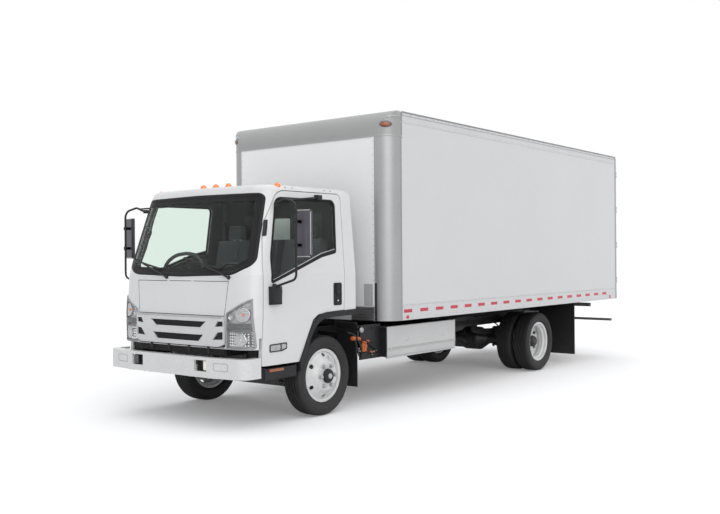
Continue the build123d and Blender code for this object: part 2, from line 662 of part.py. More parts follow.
def hinge_pins():
    """Pins and lugs on the rear posts, between the leaves' hinge straps."""
    pins = []
    pin_y = BOX_REAR_Y + HINGE_PIN_STAND_OFF
    for at in along_door(180):
        pin = rod_z(HINGE_PIN_X, pin_y, (at - 44, at + 44), 7)
        for low in (at - 44, at + 24):
            pin += block((HINGE_PIN_X - 12, HINGE_PIN_X + 12), (BOX_REAR_Y, pin_y + 10), (low, low + 20))
        pins.append(pin)
    return pins


# ---- cab form ----
CAB_SECTIONS = (
    # z, half width, front y, corner radius, 1 where the thick front wall is
    (560, 988, -1100, 232, 1),
    (1053, 997, -1095, 235, 1),
    (1440, 997, -1074, 255, 1),
    (2215, 925, -826, 250, 0),
    (CAB_TOP_Z, 908, -797, 240, 0),
)


def cab_form(inset, roof_radius=0.0):
    """The cab's outer form, drawn in by inset."""
    sections = []
    for z, w, front, r, _ in CAB_SECTIONS:
        w -= inset
        r = max(r - inset, 20)
        y0 = front + inset
        back = CAB_BACK_Y - inset
        a = w - r
        edge = y0 + CAB_CROWN
        turn = r * sqrt(0.5)
        if z == CAB_TOP_Z:
            z -= inset
        edges = [
            ThreePointArc((-a, edge, z), (0, y0, z), (a, edge, z)),
            ThreePointArc((a, edge, z), (a + turn, edge + r - turn, z), (w, edge + r, z)),
            Line((w, edge + r, z), (w, back, z)),
            Line((w, back, z), (-w, back, z)),
            Line((-w, back, z), (-w, edge + r, z)),
            ThreePointArc((-w, edge + r, z), (-a - turn, edge + r - turn, z), (-a, edge, z)),
        ]
        sections.append(make_face(Wire(edges)))
    form = loft(sections, ruled=True)
    if roof_radius:
        rim_edges = form.faces().sort_by(Axis.Z)[-1].edges()
        form = fillet(rim_edges, roof_radius)
    return form


def cab_core(wall, front_wall):
    """The space inside walls of the given thickness, with straight-cut corners."""
    sections = []
    for z, w, front, r, thick in CAB_SECTIONS:
        w -= wall
        cut = (r - wall) * (2 - sqrt(2))
        y = front + CAB_CROWN + (front_wall if thick else wall)
        back = CAB_BACK_Y - wall
        if z == CAB_TOP_Z:
            z -= wall
        corners = [(w - cut, y), (w, y + cut), (w, back), (-w, back), (-w, y + cut), (cut - w, y)]
        sections.append(Pos(0, 0, z) * make_face(Polyline(*corners, close=True)))
    return loft(sections, ruled=True)


def front_y(z):
    """Where the cab's front lies on the middle line at a height."""
    for (z0, _, y0, _, _), (z1, _, y1, _, _) in zip(CAB_SECTIONS, CAB_SECTIONS[1:]):
        if z0 <= z <= z1:
            return y0 + (y1 - y0) * (z - z0) / (z1 - z0)


DOOR_OUTLINE = (
    # y, z, radius
    (-938, 592, 12), (-904, 1505, 600), (-830, 1897, 300), (-646, 2240, 130), (268, 2246, 60),
    (236, 1060, 20), (-220, 1045, 330), (-442, 592, 12),
)
DOOR_WINDOW = (
    (-822, 1362, 15), (-812, 1600, 400), (-672, 2172, 70), (172, 2178, 60),
    (135, 1650, 30), (-93, 1607, 200),
)
WINDSCREEN = (
    # x, z, radius; left half from the bottom centre out and up
    (0, 1432), (716, 1450, 300), (905, 1545, 90), (838, 2205, 60), (0, 2214),
)
LID_THICK = 30
LID_HINGE_HALF = 200
LID_OUTLINE = ((-624, 1056), (624, 1056), (662, 1376), (-662, 1376))
LID_HINGE_Z = LID_OUTLINE[2][1] + MOVING_GAP / 2
LID_HINGE_Y = front_y(LID_HINGE_Z) + MOVING_GAP / 2
REAR_WINDOW = ((-560, 1500, 60), (560, 1500, 60), (560, 2050, 60), (-560, 2050, 60))
ARCH = ((-442, 592), (-220, 1045, 330), (500, 1062), (500, 400), (-442, 400))
ARCH_INNER = ((-428, 540), (-178, 992, 300), (520, 1004), (520, 400), (-428, 400))


def grown(points, by):
    """An outline's corners pushed out from its middle by a gap, whatever its shape."""
    count = len(points)
    area = sum(points[i - 1][0] * points[i][1] - points[i][0] * points[i - 1][1] for i in range(count))
    turn = 1 if area > 0 else -1
    out = []
    for i, point in enumerate(points):
        pa, pb = points[i - 1][:2]
        a, b = point[:2]
        na, nb = points[(i + 1) % count][:2]
        back = hypot(a - pa, b - pb)
        ahead = hypot(na - a, nb - b)
        n1 = (turn * (b - pb) / back, -turn * (a - pa) / back)
        n2 = (turn * (nb - b) / ahead, -turn * (na - a) / ahead)
        scale = by / (1 + n1[0] * n2[0] + n1[1] * n2[1])
        r = point[2] if len(point) > 2 else 0
        out.append((a + (n1[0] + n2[0]) * scale, b + (n1[1] + n2[1]) * scale, r))
    return out


def windscreen_outline(by):
    half = list(WINDSCREEN)
    full = half[1:-1] + [half[-1]] + [(-x, z, *r) for x, z, *r in reversed(half[1:-1])] + [half[0]]
    return grown(full, by)


def cab_shell():
    """Cab walls, roof, pillars and two-level floor, every opening cut, with tilt lugs."""
    form = cab_form(0, roof_radius=CAB_ROOF_RADIUS)
    under = block((-1100, 1100), (-960, 600), (0, FLOOR_Z - FLOOR_THICK))
    nose = block((-1100, 1100), (-1300, -900), (0, CAB_LOW_Z))
    back = block((-900, 900), (-60, 600), (0, DECK_LOW_Z))
    arches = both(prism_x(ARCH, (900, 1100)))
    door_hole = prism_x(grown(DOOR_OUTLINE, DOOR_GAP), (SILL_X, 1100))
    windscreen = prism_y(windscreen_outline(0), (-1300, -600))
    rear_window = prism_y(REAR_WINDOW, (CAB_BACK_Y - 80, CAB_BACK_Y + 50))
    lid_hole = prism_y(grown(LID_OUTLINE, MOVING_GAP), (-1300, -950))
    lid_recess = lid_hole & (cab_form(-20) - cab_form(LID_THICK + MOVING_GAP))
    shell = form - under - nose - back - arches - door_hole - mirrored(door_hole)
    shell = shell - windscreen - rear_window - lid_recess
    shell -= cab_core(CAB_WALL, CAB_FRONT_WALL)
    floor = prism_x([
        (-1040, FLOOR_Z - FLOOR_THICK), (-440, FLOOR_Z - FLOOR_THICK), (-440, DECK_LOW_Z),
        (CAB_BACK_Y - 10, DECK_LOW_Z), (CAB_BACK_Y - 10, DECK_Z), (-440 - FLOOR_THICK, DECK_Z),
        (-440 - FLOOR_THICK, FLOOR_Z), (-1040, FLOOR_Z),
    ], (-960, 960))
    shell += floor & (form - door_hole - mirrored(door_hole))
    shell = shell - headlamps() - mirrored(headlamps())
    lug = prism_x([
        (TILT_PIVOT_Y - 45, FLOOR_Z - 5), (TILT_PIVOT_Y - 40, TILT_PIVOT_Z - 40, 38),
        (TILT_PIVOT_Y + 40, TILT_PIVOT_Z - 40, 38), (TILT_PIVOT_Y + 70, FLOOR_Z - 5),
    ], (RAIL_OUTER_X + 14, RAIL_OUTER_X + 54))
    lug -= rod_x((RAIL_OUTER_X, RAIL_OUTER_X + 80), TILT_PIVOT_Y, TILT_PIVOT_Z, TILT_PIN_RADIUS + PIN_CLEARANCE)
    return shell + lug + mirrored(lug)


def door():
    """Left door: one solid leaf as thick as the whole door, with its window cut."""
    skin = cab_form(0) - cab_core(DOOR_WALL, DOOR_WALL)
    leaf_form = skin & prism_x(DOOR_OUTLINE, (SILL_X + MOVING_GAP, 1100))
    window = prism_x(DOOR_WINDOW, (500, 1100))
    return leaf_form - window


def door_glass():
    pane = cab_form(14) - cab_form(14 + GLASS_THICK)
    return pane & prism_x(grown(DOOR_WINDOW, -0.3), (500, 1100))


def cab_glass():
    front = (cab_form(4) - cab_form(4 + GLASS_THICK)) & prism_y(windscreen_outline(-0.3), (-1300, -600))
    rear = prism_y(grown(REAR_WINDOW, -0.3), (CAB_BACK_Y - 16, CAB_BACK_Y - 10))
    return Compound(children=[*front.solids(), *rear.solids()])


def front_lid():
    lid = (cab_form(0) - cab_form(LID_THICK)) & prism_y(LID_OUTLINE, (-1300, -1000))
    bead = MOVING_GAP / 2 - PIN_CLEARANCE
    x = (-LID_HINGE_HALF, LID_HINGE_HALF)
    low = LID_HINGE_Z - MOVING_GAP / 2 - 1
    top = LID_HINGE_Z + bead
    back = LID_HINGE_Y - bead
    ahead = LID_HINGE_Y + bead
    return lid + prism_x([(back, low), (back, top, bead * 0.9), (ahead, top, bead * 0.9), (ahead, low)], x)


def grille():
    """Face plate standing proud of the cab's nose, with two long slots and four vents."""
    plate = (cab_form(-26) - cab_form(0)) & prism_y([
        (-640, 1050), (-648, 790, 20), (-572, 766), (572, 766), (648, 790, 20), (640, 1050),
    ], (-1300, -1000))
    slots = (
        [(-413, 1000), (413, 1000), (333, 936), (-333, 936)],
        [(-375, 872), (375, 872), (310, 804), (-310, 804)],
        [(632, 1004), (560, 1004), (528, 952), (632, 960)],
        [(632, 907), (560, 900), (498, 829), (632, 835)],
    )
    for points in slots:
        cut = prism_y(points, (-1300, -1000))
        plate -= cut
        if points[0][0] > 0:
            plate -= mirrored(cut)
    return plate


def headlamps():
    lamp = (cab_form(-14) - cab_form(30)) & prism_y([
        (655, 750, 20), (953, 750, 30), (922, 1222), (655, 1085),
    ], (-1300, -950))
    return lamp


def roof_lamps():
    lamps = []
    roof = cab_form(0, roof_radius=CAB_ROOF_RADIUS)
    for x, top in ((0, 28), (186, 28), (-186, 28), (860, -8), (-860, -8)):
        dome = Pos(x, -600, CAB_TOP_Z + top - 60) * Cylinder(38, 60, align=(Align.CENTER, Align.CENTER, Align.MIN))
        dome = fillet(dome.edges().sort_by(Axis.Z)[-1], 24)
        lamps.append(dome - roof)
    return Compound(children=[s for d in lamps for s in d.solids()])


def arch_flares():
    band = prism_x(grown(ARCH, -0.3), (900, 1006)) - prism_x(list(ARCH_INNER), (880, 1100))
    band &= block((0, 1100), (-600, CAB_BACK_Y - 0.5), (500, 1200))
    return both(band)


def side_steps():
    """Open step wells under the doors, with a rubber-faced tread strip."""
    well = block((780, 985), (-925, -480), (457, 570))
    well -= block((800, 1100), (-905, -500), (520, 900))
    well += block((780, 800), (-925, -480), (457, FLOOR_Z - FLOOR_THICK))
    well += block((780, 905), (-925, -905), (457, FLOOR_Z - FLOOR_THICK))
    return both(well)


def seats():
    """Driver's seat and two-place bench, each a base with a raked back."""
    profile = [(-420, DECK_Z), (-420, DECK_Z + 130, 40), (60, DECK_Z + 120, 20), (180, DECK_Z + 660, 30), (290, DECK_Z + 660, 30), (220, DECK_Z)]
    driver = prism_x(profile, (230, 740))
    bench = prism_x(profile, (-800, 130))
    return Compound(children=[*driver.solids(), *bench.solids()])


def dashboard():
    """Moulded dash against the bulkhead, with the steering column."""
    body = prism_x([(-1020, 1000), (-700, 1000, 30), (-660, 1240, 60), (-760, 1370, 60), (-1020, 1400)], (-840, 840))
    body &= cab_core(CAB_WALL + PIN_CLEARANCE, CAB_FRONT_WALL + PIN_CLEARANCE)
    top = -STEERING_HUB_HEIGHT / 2 - PIN_CLEARANCE
    column = wheel_place(top - COLUMN_LENGTH / 2) * Cylinder(40, COLUMN_LENGTH)
    return body + column


def wheel_place(along):
    """A place on the steering column's line, so far above the steering wheel's hub."""
    lean = radians(COLUMN_LEAN)
    x, y, z = STEERING_WHEEL_CENTRE
    return Location((x, y + along * sin(lean), z + along * cos(lean)), (-COLUMN_LEAN, 0, 0))


def steering_wheel():
    place = wheel_place(0)
    ring = Torus(205, 16)
    hub = Cylinder(45, STEERING_HUB_HEIGHT)
    for turn in (0, 120, 240):
        hub += Rot(0, 0, turn) * Pos(100, 0, 0) * Box(200, 30, 14)
    return place * (ring + hub)


def bar_between(a, b, radius):
    along = Vector(*b) - Vector(*a)
    place = Plane(origin=a, z_dir=along)
    return place * Cylinder(radius, along.length, align=(Align.CENTER, Align.CENTER, Align.MIN))


def mirror_arm():
    """Left mirror: tube loop from the door's upper corner to a low base, and its head."""
    x, y = MIRROR_TUBE
    top_x, top_y, top_z = MIRROR_TOP
    arm = tube_path([
        MIRROR_TOP, (top_x + 120, top_y - 8, top_z + 44), (x, y, top_z + 4),
        (x, y, 1400), (1010, y - 25, 1325),
    ], MIRROR_TUBE_RADIUS, [70, 90, 60])
    arm += bar_between((900, top_y + 88, top_z), (top_x + 8, top_y - 6, top_z), 20)
    arm += bar_between((top_x + 90, top_y - 4, top_z + 30), (950, -95, 2200), 8)
    arm += block((910, 972), (-135, -65), (2178, 2222))
    base = block((980, 1032), (-862, -722), (1160, 1330))
    low, high = MIRROR_HEAD_Z
    head = Pos(x + 28, y + 88, (low + high) / 2) * Rot(0, 0, 11) * Box(MIRROR_HEAD_WIDTH, 40, high - low)
    head = fillet(head.edges().filter_by(Axis.Z), 12)
    for z in (low + 110, high - 110):
        head += block((x - 14, x + 14), (y, y + 80), (z - 12, z + 12))
    return (arm + base + head) - cab_form(0)


# ---- write every piece ----
write("ladder_frame", ladder_frame())
write("front_axle", front_axle())
write("rear_axle", rear_axle())
write("leaf_springs", Compound(children=[s for p in leaf_springs() for s in both(p).solids()]))
write("engine_block", block((-300, 300), (-425, 330), (500, DECK_Z - FLOOR_THICK - 20)))
write("driveshaft", driveshaft())
write("exhaust", exhaust())
write("fuel_tank", fuel_tank())
cover, plate = side_equipment()
write("side_cover", cover)
write("equipment_plate", plate)
write("front_bumper", front_bumper())
write("underride_bar", underride_bar())
write("mud_flaps", Compound(children=[s for f in mud_flaps() for s in both(f).solids()]))
van_pieces()
write("cab_shell", cab_shell())
write("cab_glass", cab_glass())
write("front_lid", front_lid())
write("grille", grille())
write("headlamps", both(headlamps()))
write("roof_lamps", roof_lamps())
write("arch_flares", arch_flares())
write("side_steps", side_steps())
write("seats", seats())
write("dashboard", dashboard())
write("steering_wheel", steering_wheel())
write("tie_rod", tie_rod())
for side in SIDES:
    write("door_" + side, sided(door(), side))
    write("door_glass_" + side, sided(door_glass(), side))
    write("mirror_" + side, sided(mirror_arm(), side))
    write("knuckle_" + side, sided(knuckle(), side))
    write("front_tyre_" + side, sided(tyre(FRONT_TYRE_X, 0), side))
    write("front_rim_" + side, sided(front_rim(), side))
    pair = [tyre(REAR_MATING_X + s * DISC_OFFSET, REAR_AXLE_Y) for s in (-1, 1)]
    twins = Compound(children=[s for t in pair for s in t.solids()])
    write("rear_tyres_" + side, sided(twins, side))
    write("rear_rims_" + side, sided(rear_rims(), side))
    write("cargo_door_" + side, sided(cargo_door(), side))

os.makedirs("parts", exist_ok=True)
for name, shape in pieces.items():
    export_step(shape, f"parts/{name}.step")
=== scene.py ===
"""Finishes and fittings of the box truck, built round its CAD frame.

Sizes are millimetres from the front axle's middle: +X to the truck's left, +Y to its
rear, +Z up from the ground. A piece turns them into the frame's metres when it is made.
"""
from math import cos, pi, radians, sin, sqrt

import bmesh
import bpy
from mathutils import Matrix, Vector


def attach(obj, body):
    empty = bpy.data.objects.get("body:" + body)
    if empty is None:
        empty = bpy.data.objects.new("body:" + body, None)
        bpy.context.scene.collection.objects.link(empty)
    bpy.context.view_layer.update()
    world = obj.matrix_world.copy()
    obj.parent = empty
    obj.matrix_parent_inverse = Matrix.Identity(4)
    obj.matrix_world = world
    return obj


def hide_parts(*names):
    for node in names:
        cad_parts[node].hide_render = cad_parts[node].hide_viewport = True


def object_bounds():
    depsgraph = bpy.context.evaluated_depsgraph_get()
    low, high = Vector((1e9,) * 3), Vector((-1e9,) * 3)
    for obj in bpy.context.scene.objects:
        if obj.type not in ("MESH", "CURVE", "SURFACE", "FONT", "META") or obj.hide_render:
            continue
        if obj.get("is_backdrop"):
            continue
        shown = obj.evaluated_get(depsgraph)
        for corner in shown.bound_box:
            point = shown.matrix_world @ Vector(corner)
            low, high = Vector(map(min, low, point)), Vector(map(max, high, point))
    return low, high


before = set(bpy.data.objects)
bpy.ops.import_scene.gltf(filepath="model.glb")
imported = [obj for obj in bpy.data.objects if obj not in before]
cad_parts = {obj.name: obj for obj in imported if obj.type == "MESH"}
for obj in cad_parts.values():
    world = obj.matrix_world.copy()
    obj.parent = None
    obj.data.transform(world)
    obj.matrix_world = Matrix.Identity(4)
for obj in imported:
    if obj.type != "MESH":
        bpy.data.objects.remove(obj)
START_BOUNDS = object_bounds()

MID_Y = 2822
MM = 0.001
AXLE_Z = 405
REAR_AXLE_Y = 4470
FRONT_HUB = (0, 0, AXLE_Z)
REAR_HUB = (0, REAR_AXLE_Y, AXLE_Z)
SIDES = {"left": 1, "right": -1}
BOX_X = 1219
BOX_FRONT = 745
BOX_REAR = 6841


# ---- materials ----
class Link:
    """A shader output that can be used in sums."""

    def __init__(self, finish, socket):
        self.finish = finish
        self.socket = socket

    def __add__(self, other):
        return self.finish.maths("ADD", self, other)

    def __sub__(self, other):
        return self.finish.maths("SUBTRACT", self, other)

    def __rsub__(self, other):
        return self.finish.maths("SUBTRACT", other, self)

    def __mul__(self, other):
        return self.finish.maths("MULTIPLY", self, other)

    def __truediv__(self, other):
        return self.finish.maths("DIVIDE", self, other)

    __radd__ = __add__
    __rmul__ = __mul__


class Finish:
    """One material on a Principled shader. Constants go straight on its sockets."""

    def __init__(self, name, **constants):
        self.material = bpy.data.materials.new(name)
        self.material.use_nodes = True
        self.tree = self.material.node_tree
        self.tree.nodes.clear()
        self.output = self.tree.nodes.new("ShaderNodeOutputMaterial")
        self.shader = self.tree.nodes.new("ShaderNodeBsdfPrincipled")
        self.tree.links.new(self.shader.outputs[0], self.output.inputs[0])
        for key, value in constants.items():
            self.set(key.replace("_", " "), value)
        self.place = self.node("ShaderNodeTexCoord", out=3)

    def set(self, socket, value):
        target = self.shader.inputs[socket]
        if isinstance(value, Link):
            self.tree.links.new(value.socket, target)
        elif target.type == "RGBA":
            target.default_value = (*value, 1)
        else:
            target.default_value = value

    def node(self, kind, settings=None, inputs=None, out=0):
        node = self.tree.nodes.new(kind)
        for key, value in (settings or {}).items():
            if key == "stops":
                ramp = node.color_ramp
                while len(ramp.elements) < len(value):
                    ramp.elements.new(0.5)
                for element, (at, shade) in zip(ramp.elements, value):
                    element.position = at
                    element.color = (shade, shade, shade, 1)
            else:
                setattr(node, key, value)
        for key, value in (inputs or {}).items():
            socket = node.inputs[key]
            if isinstance(value, Link):
                self.tree.links.new(value.socket, socket)
            elif socket.type == "RGBA":
                socket.default_value = (*value, 1)
            else:
                socket.default_value = value
        return Link(self, node.outputs[out])

    def maths(self, operation, *values):
        return self.node("ShaderNodeMath", {"operation": operation}, dict(enumerate(values)))

    def mix(self, mask, first, second):
        inputs = {0: mask, 6: first, 7: second}
        return self.node("ShaderNodeMix", {"data_type": "RGBA"}, inputs, out=2)

    def stretched(self, scale):
        return self.node("ShaderNodeMapping", {}, {"Vector": self.place, "Scale": scale})

    def noise(self, scale, detail=4, rough=0.55, place=None):
        inputs = {"Vector": place or self.place, "Scale": scale, "Detail": detail, "Roughness": rough}
        return self.node("ShaderNodeTexNoise", {}, inputs)

    def ramp(self, value, *stops):
        return self.node("ShaderNodeValToRGB", {"stops": stops}, {"Fac": value})

    def axis(self, index):
        return self.node("ShaderNodeSeparateXYZ", {}, {0: self.place}, out=index)

    def bump(self, height, distance, strength=0.6):
        inputs = {"Height": height, "Distance": distance, "Strength": strength}
        self.set("Normal", self.node("ShaderNodeBump", {}, inputs))


def finished(name, colour, roughness, mottle=0.05, patch=3.0, grain=600.0, depth=0.00004, wear=0.12, dust=0.0,
             dust_top=1.0, stretch=None, **constants):
    """A finish with broad mottling, uneven gloss, a fine grain and dust towards the ground."""
    made = Finish(name, **constants)
    broad = made.noise(patch, 5)
    fine = made.noise(patch * 14, 6, 0.65)
    shade = [max(c * (1 - mottle * 2.2), 0) for c in colour]
    lift = [min(c * (1 + mottle) + mottle * 0.01, 1) for c in colour]
    made.colour = made.mix(made.ramp(broad * 0.6 + fine * 0.4, (0.36, 0), (0.66, 1)), shade, lift)
    if dust:
        low = made.maths("SUBTRACT", dust_top, made.axis(2)) / dust_top
        settled = made.maths("MAXIMUM", low, 0.0) * made.ramp(fine, (0.42, 0.15), (0.7, 1)) * dust
        made.colour = made.mix(settled, made.colour, (0.30, 0.285, 0.26))
    made.set("Base Color", made.colour)
    rough = broad * wear + fine * (wear * 0.6) + (roughness - wear * 0.8)
    made.set("Roughness", made.maths("MINIMUM", rough, 1.0))
    place = made.stretched(stretch) if stretch else made.place
    made.bump(made.noise(grain, 2, 0.5, place), depth)
    return made


def inside_cab(made):
    """1 on the cab's inner faces and edges, 0 on its outer skin."""
    z = made.axis(2)
    y = made.axis(1)
    x = made.maths("ABSOLUTE", made.axis(0))
    waist = 1.44
    half_width = 0.997
    front_line = 1.055
    radius = 0.245
    skin = 0.034
    over = made.maths("MAXIMUM", z - waist, 0.0)
    half = half_width - over * 0.093
    front = over * 0.32 - (front_line + MID_Y * MM)
    across = made.maths("MAXIMUM", x - (half - radius), 0.0)
    ahead = made.maths("MAXIMUM", (front + radius) - y, 0.0)
    reach = made.maths("SQRT", across * across + ahead * ahead)
    inner = made.maths("LESS_THAN", reach, radius - skin)
    inner = inner * made.maths("LESS_THAN", y, (430 - MID_Y) * MM - 0.012)
    return inner * made.maths("LESS_THAN", z, 2.285)


def cab_white():
    made = finished("cab gloss white", (0.62, 0.62, 0.62), 0.24, mottle=0.012, wear=0.05, grain=900,
                    depth=0.00002, dust=0.16, dust_top=0.75, Coat_Weight=0.35, Coat_Roughness=0.06)
    inner = inside_cab(made)
    made.set("Base Color", made.mix(inner, made.colour, (0.045, 0.045, 0.048)))
    made.set("Roughness", inner * 0.45 + made.noise(5) * 0.08 + 0.2)
    made.set("Coat Weight", 0.35 - inner * 0.35)
    return made


def boards():
    """Hardwood boards that run along the deck."""
    made = Finish("oiled hardwood deck")
    board = 0.09
    grain = made.noise(30, 8, 0.7, made.stretched((6, 0.7, 6)))
    row = made.maths("FLOOR", made.axis(0) / board)
    tone = made.node("ShaderNodeTexWhiteNoise", {"noise_dimensions": "1D"}, {"W": row})
    wood = made.mix(made.ramp(grain, (0.3, 0), (0.75, 1)), (0.16, 0.085, 0.04), (0.36, 0.21, 0.11))
    wood = made.mix(tone * 0.45, wood, (0.23, 0.15, 0.09))
    seam = made.maths("FRACT", made.axis(0) / board)
    gap = made.ramp(seam, (0.0, 1), (0.03, 0), (0.97, 0), (1.0, 1))
    made.set("Base Color", made.mix(gap, wood, (0.02, 0.015, 0.01)))
    made.set("Roughness", grain * 0.3 + 0.4)
    made.bump(grain * 0.5 - gap, 0.0015)
    return made


def woven():
    made = Finish("woven seat cloth", Sheen_Weight=0.3)
    across = made.node("ShaderNodeTexWave", {"bands_direction": "X"}, {"Vector": made.place, "Scale": 160})
    along = made.node("ShaderNodeTexWave", {"bands_direction": "Z"}, {"Vector": made.place, "Scale": 160})
    weave = made.maths("MAXIMUM", across, along)
    cloth = made.mix(made.noise(40) * 0.6 + weave * 0.4, (0.035, 0.036, 0.042), (0.10, 0.10, 0.115))
    made.set("Base Color", cloth)
    made.set("Roughness", weave * 0.1 + 0.82)
    made.bump(weave, 0.0006)
    return made


def chequered(name, colour, light):
    """Reflective sheeting: a fine lattice of cells under a clear face."""
    made = Finish(name, Coat_Weight=0.2, Coat_Roughness=0.12)
    inputs = {"Vector": made.place, "Scale": 170}
    cells = made.node("ShaderNodeTexVoronoi", {"feature": "DISTANCE_TO_EDGE"}, inputs)
    line = made.ramp(cells, (0.02, 1), (0.09, 0))
    made.set("Base Color", made.mix(line * 0.55 + made.noise(60) * 0.12, colour, light))
    made.set("Roughness", line * 0.2 + 0.22)
    made.bump(cells, 0.0002)
    return made


def glass(name, tint, roughness=0.0):
    made = Finish(name, Transmission_Weight=1.0, IOR=1.2)
    smear = made.noise(6, 3)
    made.set("Base Color", made.mix(smear * 0.4, tint, [c * 0.97 for c in tint]))
    made.set("Roughness", made.ramp(smear, (0.5, roughness), (0.9, roughness + 0.015)))
    return made


def clear_cover(name):
    """A clear moulded cover, seen straight through."""
    made = Finish(name, Alpha=0.1, IOR=1.3, Coat_Weight=0.4, Coat_Roughness=0.03)
    smear = made.noise(9, 3)
    made.set("Base Color", made.mix(smear * 0.5, (0.42, 0.43, 0.44), (0.34, 0.35, 0.36)))
    made.set("Roughness", smear * 0.06 + 0.05)
    return made


def lens(name, colour, glow=0.0):
    """Moulded lamp lens with a pattern of small prisms."""
    made = Finish(name, Coat_Weight=0.8, Coat_Roughness=0.05, Emission_Strength=glow, Subsurface_Weight=0.15,
                  Subsurface_Scale=0.01)
    ribs = made.node("ShaderNodeTexWave", {"bands_direction": "Z"}, {"Vector": made.place, "Scale": 90})
    light = [min(c * 1.35, 1) for c in colour]
    made.set("Base Color", made.mix(ribs * 0.35 + made.noise(50) * 0.2, colour, light))
    made.set("Emission Color", colour)
    made.set("Roughness", ribs * 0.12 + 0.16)
    made.bump(ribs, 0.0005)
    return made


